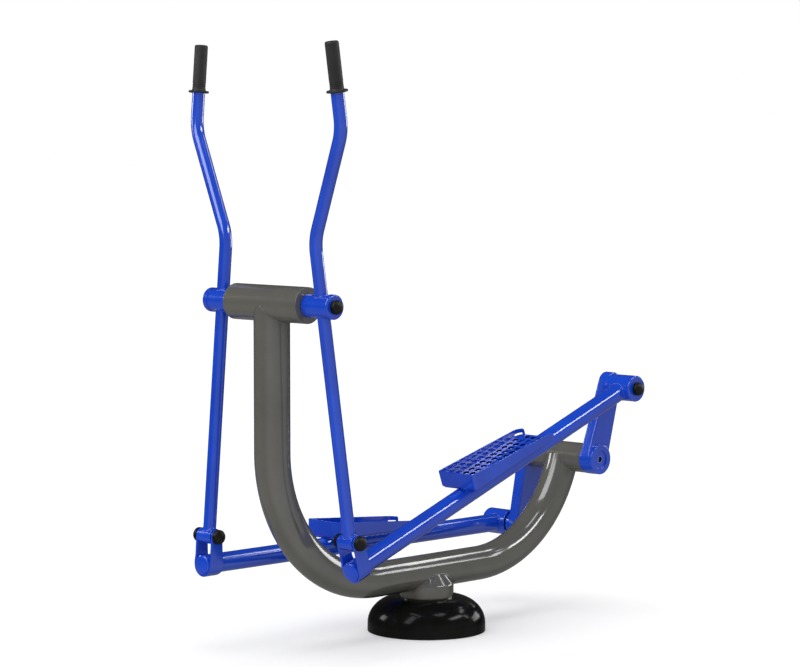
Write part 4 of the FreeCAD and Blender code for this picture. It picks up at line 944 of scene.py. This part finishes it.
    border = {}
    for i, j in sorted(cells):
        sq = square(i, j)
        cx, cy = us[i], ys[j]
        outer_t = [put(p, top_w) for p in sq]
        outer_b = [put(p, back_w) for p in sq]
        for q in range(nseg):                    # border segments, kept once when not shared
            a, b2 = sq[q], sq[(q + 1) % nseg]
            key = tuple(sorted(((round(a.x, 4), round(a.y, 4)), (round(b2.x, 4), round(b2.y, 4)))))
            border[key] = border.get(key, 0) + 1
        if (i, j) in blind:
            faces.append(outer_t)
            faces.append(list(reversed(outer_b)))
            continue
        prev_t, prev_b = outer_t, outer_b
        for r, wt, wb in ((HOLE + lip, top_w, back_w), (HOLE + 0.15, top_w - 0.2, back_w + 0.2), (HOLE, top_w - lip, back_w + lip)):
            rt, rb = [], []
            for q in range(nseg):
                a = -0.25 * math.pi + TAU * q / nseg
                c2 = Vector((cx + r * math.cos(a), cy + r * math.sin(a)))
                rt.append(put(c2, wt))
                rb.append(put(c2, wb))
            for q in range(nseg):
                p2 = (q + 1) % nseg
                faces.append([prev_t[q], prev_t[p2], rt[p2], rt[q]])
                faces.append([prev_b[q], prev_b[p2], rb[p2], rb[q]])
            prev_t, prev_b = rt, rb
        for q in range(nseg):
            p2 = (q + 1) % nseg
            faces.append([prev_t[q], prev_t[p2], prev_b[p2], prev_b[q]])
    free = [k2 for k2, n2 in border.items() if n2 == 1]
    loop_pts, index, edges = [], {}, []

    def vid(p):
        key = (round(p[0], 4), round(p[1], 4))
        if key not in index:
            index[key] = len(loop_pts)
            loop_pts.append(Vector(key))
        return index[key]

    for a, b2 in free:
        edges.append((vid(a), vid(b2)))
        pa, pb = Vector(a), Vector(b2)           # the rim of the stiffening sheet under the floor
        faces.append([put(pa, low_w), put(pb, low_w), put(pb, back_w), put(pa, back_w)])
    n_in = len(edges)
    rim = [p + nrm * ro for p, nrm in path]
    # take the whole rim from the lip, then close along the open rear edge
    edge_u = T0 + 0.5
    chain = [Vector((edge_u, -39.0))] + rim[0:] + [Vector((edge_u, TW - ro))]
    tail = [Vector((edge_u, TW - ro - (TW - ro + 39.0) * i / 12)) for i in range(1, 12)]
    ring_pts = chain + tail
    ids = [vid(p) for p in ring_pts]
    for a, b2 in zip(ids, ids[1:] + ids[:1]):
        if a != b2:
            edges.append((a, b2))
    res = geometry.delaunay_2d_cdt(loop_pts, edges, [], 1, 1e-5)
    cvs, tris = res[0], res[2]
    rect = lambda c: any(ub[i] < c.x < ub[i + 1] and yb[j] < c.y < yb[j + 1] for i, j in cells)
    keep_t = []
    for t in tris:
        c = sum((cvs[q] for q in t), Vector((0, 0))) / len(t)
        if not rect(c):
            keep_t.append(t)
    top_id = [put(p, top_w) for p in cvs]
    low_id = [put(p, low_w) for p in cvs]
    for t in keep_t:
        faces.append([top_id[q] for q in t])
        faces.append([low_id[q] for q in reversed(t)])
    # rolled rear edge
    rear = [Vector((edge_u, -39.0))] + list(reversed(tail)) + [Vector((edge_u, TW - ro))]
    sec = [(0.0, top_w), (-0.35, top_w - 0.15), (-0.5, top_w - 0.5), (-0.5, low_w + 0.5), (-0.35, low_w + 0.15), (0.0, low_w)]
    rows = [[put(p + Vector((d, 0)), w) for d, w in sec] for p in rear]
    for a, c in zip(rows, rows[1:]):
        for j in range(len(sec) - 1):
            faces.append([a[j], a[j + 1], c[j + 1], c[j]])
    faces.append(rows[0])
    faces.append(list(reversed(rows[-1])))
    return verts, faces


for side, k in SIDES.items():
    s = k["s"]
    body = side + "_pedal_arm"
    F = turn(k["pin"][0], k["pin"][1], -k["tilt"])
    ay = s * LEVER_Y

    def hub_cope(q):
        return Vector((math.sqrt(max(0.0, 34.6 ** 2 - q.z * q.z)) - 0.5, q.y, q.z))

    stations = [(Vector((u, ay, 0)), X, 24.15) for u in (20.0, 60.0, 240.0, 480.0, 720.0, 960.0, 1060.0, 1097.6)]
    stations.append((Vector((1098.0, ay, 0)), X, 23.8))
    make(side + "_arm_tube_skin", *tube(stations, Y, F, seg=72, first=hub_cope, tip0=Vector((31.5, ay, 0))), BLUE, body,
         [side + "_arm_tube"], "blue_paint")
    cap = [(0, 1092.0), (21.1, 1092.0), (21.1, 1098.1), (23.9, 1098.1)]
    for i in range(15):
        a = 0.5 * math.pi * i / 14
        cap.append((24.1 * math.cos(a) if i < 14 else 0.0, 1098.2 + 5.0 * math.sin(a) ** 0.8))
    make(side + "_arm_end_skin", *lathe(cap, aim((0, ay, 0), X, F), 80), BLUE, body, [side + "_arm_front_cap"], "blue_paint")
    make(side + "_clevis_skin", *clevis_mesh(F, ay), BLUE, body, [side + "_clevis"], "blue_paint", sharp=55)
    caps = []
    for q in (1, -1):
        prof = [(13.2, 0.0), (18.0, 0.0), (18.0, 6.4)] + dome_profile(18.0, 17.4, 6.8, n=14, power=0.95)
        prof += [(0, 14.6), (9.5, 13.4), (13.2, 10.2)]
        prof = prof[3 + 15:] + prof[:3 + 15]     # start on the axis inside
        caps.append(lathe(prof, aim((PIVOT_U, ay + q * 30.15, PIVOT_W), Y * q, F), 72))
    make(side + "_clevis_cap_skins", *join(*caps), BLACK_CAP, body, [side + "_clevis_caps"], "cap_black")
    hub = soften([(31.0, 0), (34.6, 0), (34.6, 79.5), (15.0, 79.5), (15.0, 73.5), (31.0, 73.5)],
                 [0.5, 1.4, 3.0, 0.5, 0.3, 0.5], closed=True, steps=6)
    make(side + "_hub_skin", *lathe(hub, aim((0, s * 139.0, 0), Y * s, F), 112, loop=True), BLUE, body, [side + "_rear_hub"], "blue_paint")
    cap = [(0, 213.5), (14.9, 213.5), (14.9, 218.5), (17.8, 218.5), (17.8, 225.0)] + dome_profile(17.8, 235.9, 225.4, n=14, power=0.95)
    make(side + "_hub_cap_skin", *lathe(cap, aim((0, 0, 0), Y * s, F), 72), BLACK_CAP, body, [side + "_hub_cap"], "cap_black")
    make(side + "_pedal_tray", *pedal_mesh(F, ay), BLUE, body, [side + "_pedal"], "blue_paint", sharp=35)
    hole_shade_rings = []                                 # dark film inside the punched holes: painted shade where the hole walls fall into shadow
    # each ring carries the painted hole shade, not a real coat
    for i in range(14):
        for j in range(5):
            if (i, j) != (0, 0):
                ring = [(8.06, W0 - BACK + 0.55), (8.06, W0 + TH - 0.55), (7.9, W0 + TH - 0.5), (7.9, W0 - BACK + 0.5)]
                M = F @ Matrix.Translation((T0 + 14.5 + PITCH * i, ay + PITCH * (j - 2), 0.0))
                hole_shade_rings.append(lathe(ring, M, 28, loop=True))
    make(side + "_painted_hole_shade", *join(*hole_shade_rings), HOLE_SHADE, body, slot="blue_paint")
    shapes = []
    for u in (398.0, 652.0):
        ol = [(-40.0, 25.6), (-40.0, 22.0), (-26.0, 8.0)]
        a0 = math.asin(8.0 / 24.1)
        for i in range(25):
            a = math.pi - a0 - (math.pi - 2 * a0) * i / 24
            ol.append((24.1 * math.cos(a), 24.1 * math.sin(a)))
        ol += [(26.0, 8.0), (40.0, 22.0), (40.0, 25.6)]
        M = F @ Matrix(((0, 0, 1, u), (1, 0, 0, ay), (0, 1, 0, 0), (0, 0, 0, 1)))
        shapes.append(plate(ol, -4.0, 4.0, 0.6, M, steps=3))
    make(side + "_saddle_plates", *join(*shapes), BLUE, body, [side + "_pedal_saddles"], "blue_paint")

    beads = []
    pts = []
    for i in range(240):
        th = TAU * i / 240
        z = 24.15 * math.sin(th)
        pts.append((math.sqrt(34.6 ** 2 - z * z), ay + 24.15 * math.cos(th), z))
    beads.append(bead(pts, (0, ay, 0), X, 2.0, F, seed=s))
    for u in (1058.5,):
        pts = []
        for i in range(121):
            th = math.pi + math.pi * i / 120
            uu = 1053.0 + (5.4 * max(0.0, (-math.sin(th) - 0.59) / 0.41))
            pts.append((uu, ay + 24.9 * math.cos(th), 24.9 * math.sin(th)))
        beads.append(bead(pts, (0, ay, 0), X, 2.0, F, closed=False, taper=lambda q: min(1.0, 0.3 + 6 * min(q, 1 - q)), seed=s * 3))
    make(side + "_arm_welds", *join(*beads), BLUE, body, slot="blue_paint")

# ------------------------------------------------------------------ stage, light, camera
fm, nt, b = nodes_of("pale_floor")
co = nt.nodes.new("ShaderNodeTexCoord").outputs["Object"]
nt.links.new(ramp(nt, tex_noise(nt, co, 1.5, 3.0), [(0.3, (0.78, 0.78, 0.78)), (0.7, (0.80, 0.80, 0.80))]), b.inputs["Base Color"])
b.inputs["Roughness"].default_value = 0.9
b.inputs["Specular IOR Level"].default_value = 0.0
b.inputs["Emission Color"].default_value = (1.0, 1.0, 1.0, 1.0)
b.inputs["Emission Strength"].default_value = 0.25
me = bpy.data.meshes.new("floor")
me.from_pydata([(-60, -60, -0.0006), (60, -60, -0.0006), (60, 60, -0.0006), (-60, 60, -0.0006)], [], [(0, 1, 2, 3)])
me.materials.append(fm)
floor = bpy.data.objects.new("floor", me)
bpy.context.scene.collection.objects.link(floor)
floor.visible_glossy = False
floor.visible_diffuse = False

world = bpy.data.worlds.new("studio")
bpy.context.scene.world = world
world.use_nodes = True
nt = world.node_tree
nt.nodes.clear()
wout = nt.nodes.new("ShaderNodeOutputWorld")
lp = nt.nodes.new("ShaderNodeLightPath")
tc = nt.nodes.new("ShaderNodeTexCoord")
sep = nt.nodes.new("ShaderNodeSeparateXYZ")
nt.links.new(tc.outputs["Generated"], sep.inputs[0])


def wbg(colour, strength=1.0):
    n = nt.nodes.new("ShaderNodeBackground")
    if isinstance(colour, tuple):
        n.inputs["Color"].default_value = (*colour, 1.0)
    else:
        nt.links.new(colour, n.inputs["Color"])
    n.inputs["Strength"].default_value = strength
    return n.outputs[0]


def wmix(fac, a, b2):
    n = nt.nodes.new("ShaderNodeMixShader")
    nt.links.new(fac, n.inputs[0])
    nt.links.new(a, n.inputs[1])
    nt.links.new(b2, n.inputs[2])
    return n.outputs[0]




def toward(vector):
    """How far a ray of the world points toward a fixed direction."""
    n = nt.nodes.new("ShaderNodeVectorMath")
    n.operation = "DOT_PRODUCT"
    n.inputs[1].default_value = vector
    nt.links.new(tc.outputs["Generated"], n.inputs[0])
    return n.outputs["Value"]


def grey(value):
    n = nt.nodes.new("ShaderNodeCombineXYZ")
    for i in range(3):
        nt.links.new(value, n.inputs[i])
    return n.outputs[0]


def plus(a, b2):
    n = nt.nodes.new("ShaderNodeMath")
    n.operation = "ADD"
    nt.links.new(a, n.inputs[0])
    nt.links.new(b2, n.inputs[1])
    return n.outputs[0]


soft = grey(remap(nt, toward((0.70, -0.26, 0.40)), -0.85, 0.85, 0.42, 1.12))
lobe = times(nt, remap(nt, toward((0.17, 0.98, 0.0)), 0.10, 0.62, 0.0, 0.46), remap(nt, sep.outputs["Z"], 0.15, 0.55, 1.0, 0.12))
ground = remap(nt, sep.outputs["Z"], -0.35, -0.02, 0.26, 0.04)
shiny = grey(plus(lobe, ground))
look = wmix(lp.outputs["Is Diffuse Ray"], wbg(shiny), wbg(soft))
look = wmix(lp.outputs["Is Camera Ray"], look, wbg((1.0, 1.0, 1.0)))
nt.links.new(look, wout.inputs["Surface"])

TARGET = Vector((0.0, 0.0, 0.6))


def sun(name, direction, strength, angle, colour=(1, 1, 1), glossy=False):
    l = bpy.data.lights.new(name, "SUN")
    l.energy = strength
    l.angle = math.radians(angle)
    l.color = colour
    o = bpy.data.objects.new(name, l)
    bpy.context.scene.collection.objects.link(o)
    o.rotation_euler = Vector(direction).to_track_quat("Z", "Y").to_euler()
    o.visible_glossy = glossy
    return o


def card(name, direction, distance, width, height, power, colour=(1, 1, 1), diffuse=False, roll=0.0):
    """A softbox seen in the gloss, facing the object from a direction."""
    l = bpy.data.lights.new(name, "AREA")
    l.shape = "RECTANGLE"
    l.size, l.size_y = width, height
    l.energy = power * width * height
    l.color = colour
    o = bpy.data.objects.new(name, l)
    bpy.context.scene.collection.objects.link(o)
    d = Vector(direction).normalized()
    o.location = TARGET + d * distance
    o.rotation_euler = (d.to_track_quat("Z", "Y").to_matrix() @ Matrix.Rotation(math.radians(roll), 3, "Z")).to_euler()
    o.visible_camera = False
    o.visible_diffuse = diffuse
    return o


sun("key_top", (0.12, 0.08, 1.0), 0.6, 40)
card("long_box_front", (0.7105, -0.1125, 0.6947), 5.0, 3.2, 4.3, 17.0)
card("long_box_side", (-0.38, 0.715, 0.588), 5.0, 2.6, 0.7, 46.0)
card("box_over_side", (-0.038, 0.437, 0.899), 5.0, 1.5, 1.1, 22.0)
card("strip_rear", (-0.725, 0.20, 0.662), 5.0, 2.2, 0.5, 26.0)
card("strip_rear_side", (-0.718, 0.54, 0.44), 5.0, 0.5, 1.1, 24.0)
card("low_box_rear", (-0.954, 0.2556, 0.156), 5.0, 2.4, 1.2, 19.0)
card("small_box_front", (0.485, -0.82, 0.305), 5.0, 1.2, 1.2, 30.0)

cam = bpy.data.cameras.new("photo_camera")
cam.sensor_fit = "HORIZONTAL"
cam.sensor_width = 36.0
cam.lens = 2816.4 * 36.0 / 800.0
cam.shift_x = -5.45 / 800.0
cam.shift_y = 0.52 / 800.0
cam.clip_start, cam.clip_end = 0.05, 200.0
co = bpy.data.objects.new("photo_camera", cam)
bpy.context.scene.collection.objects.link(co)
right, up, back = Vector((-0.6962, 0.7179, 0.0)), Vector((-0.0531, -0.0515, 0.9973)), Vector((0.7159, 0.6942, 0.0739))
back.normalize()
right = up.cross(back).normalized()
up = back.cross(right).normalized()
m = Matrix((right, up, back)).transposed().to_4x4()
m.translation = Vector((5.201, 4.968, 1.298))
co.matrix_world = m
bpy.context.scene.camera = co
bpy.context.scene.view_settings.view_transform = "Standard"
bpy.context.scene.view_settings.look = "None"
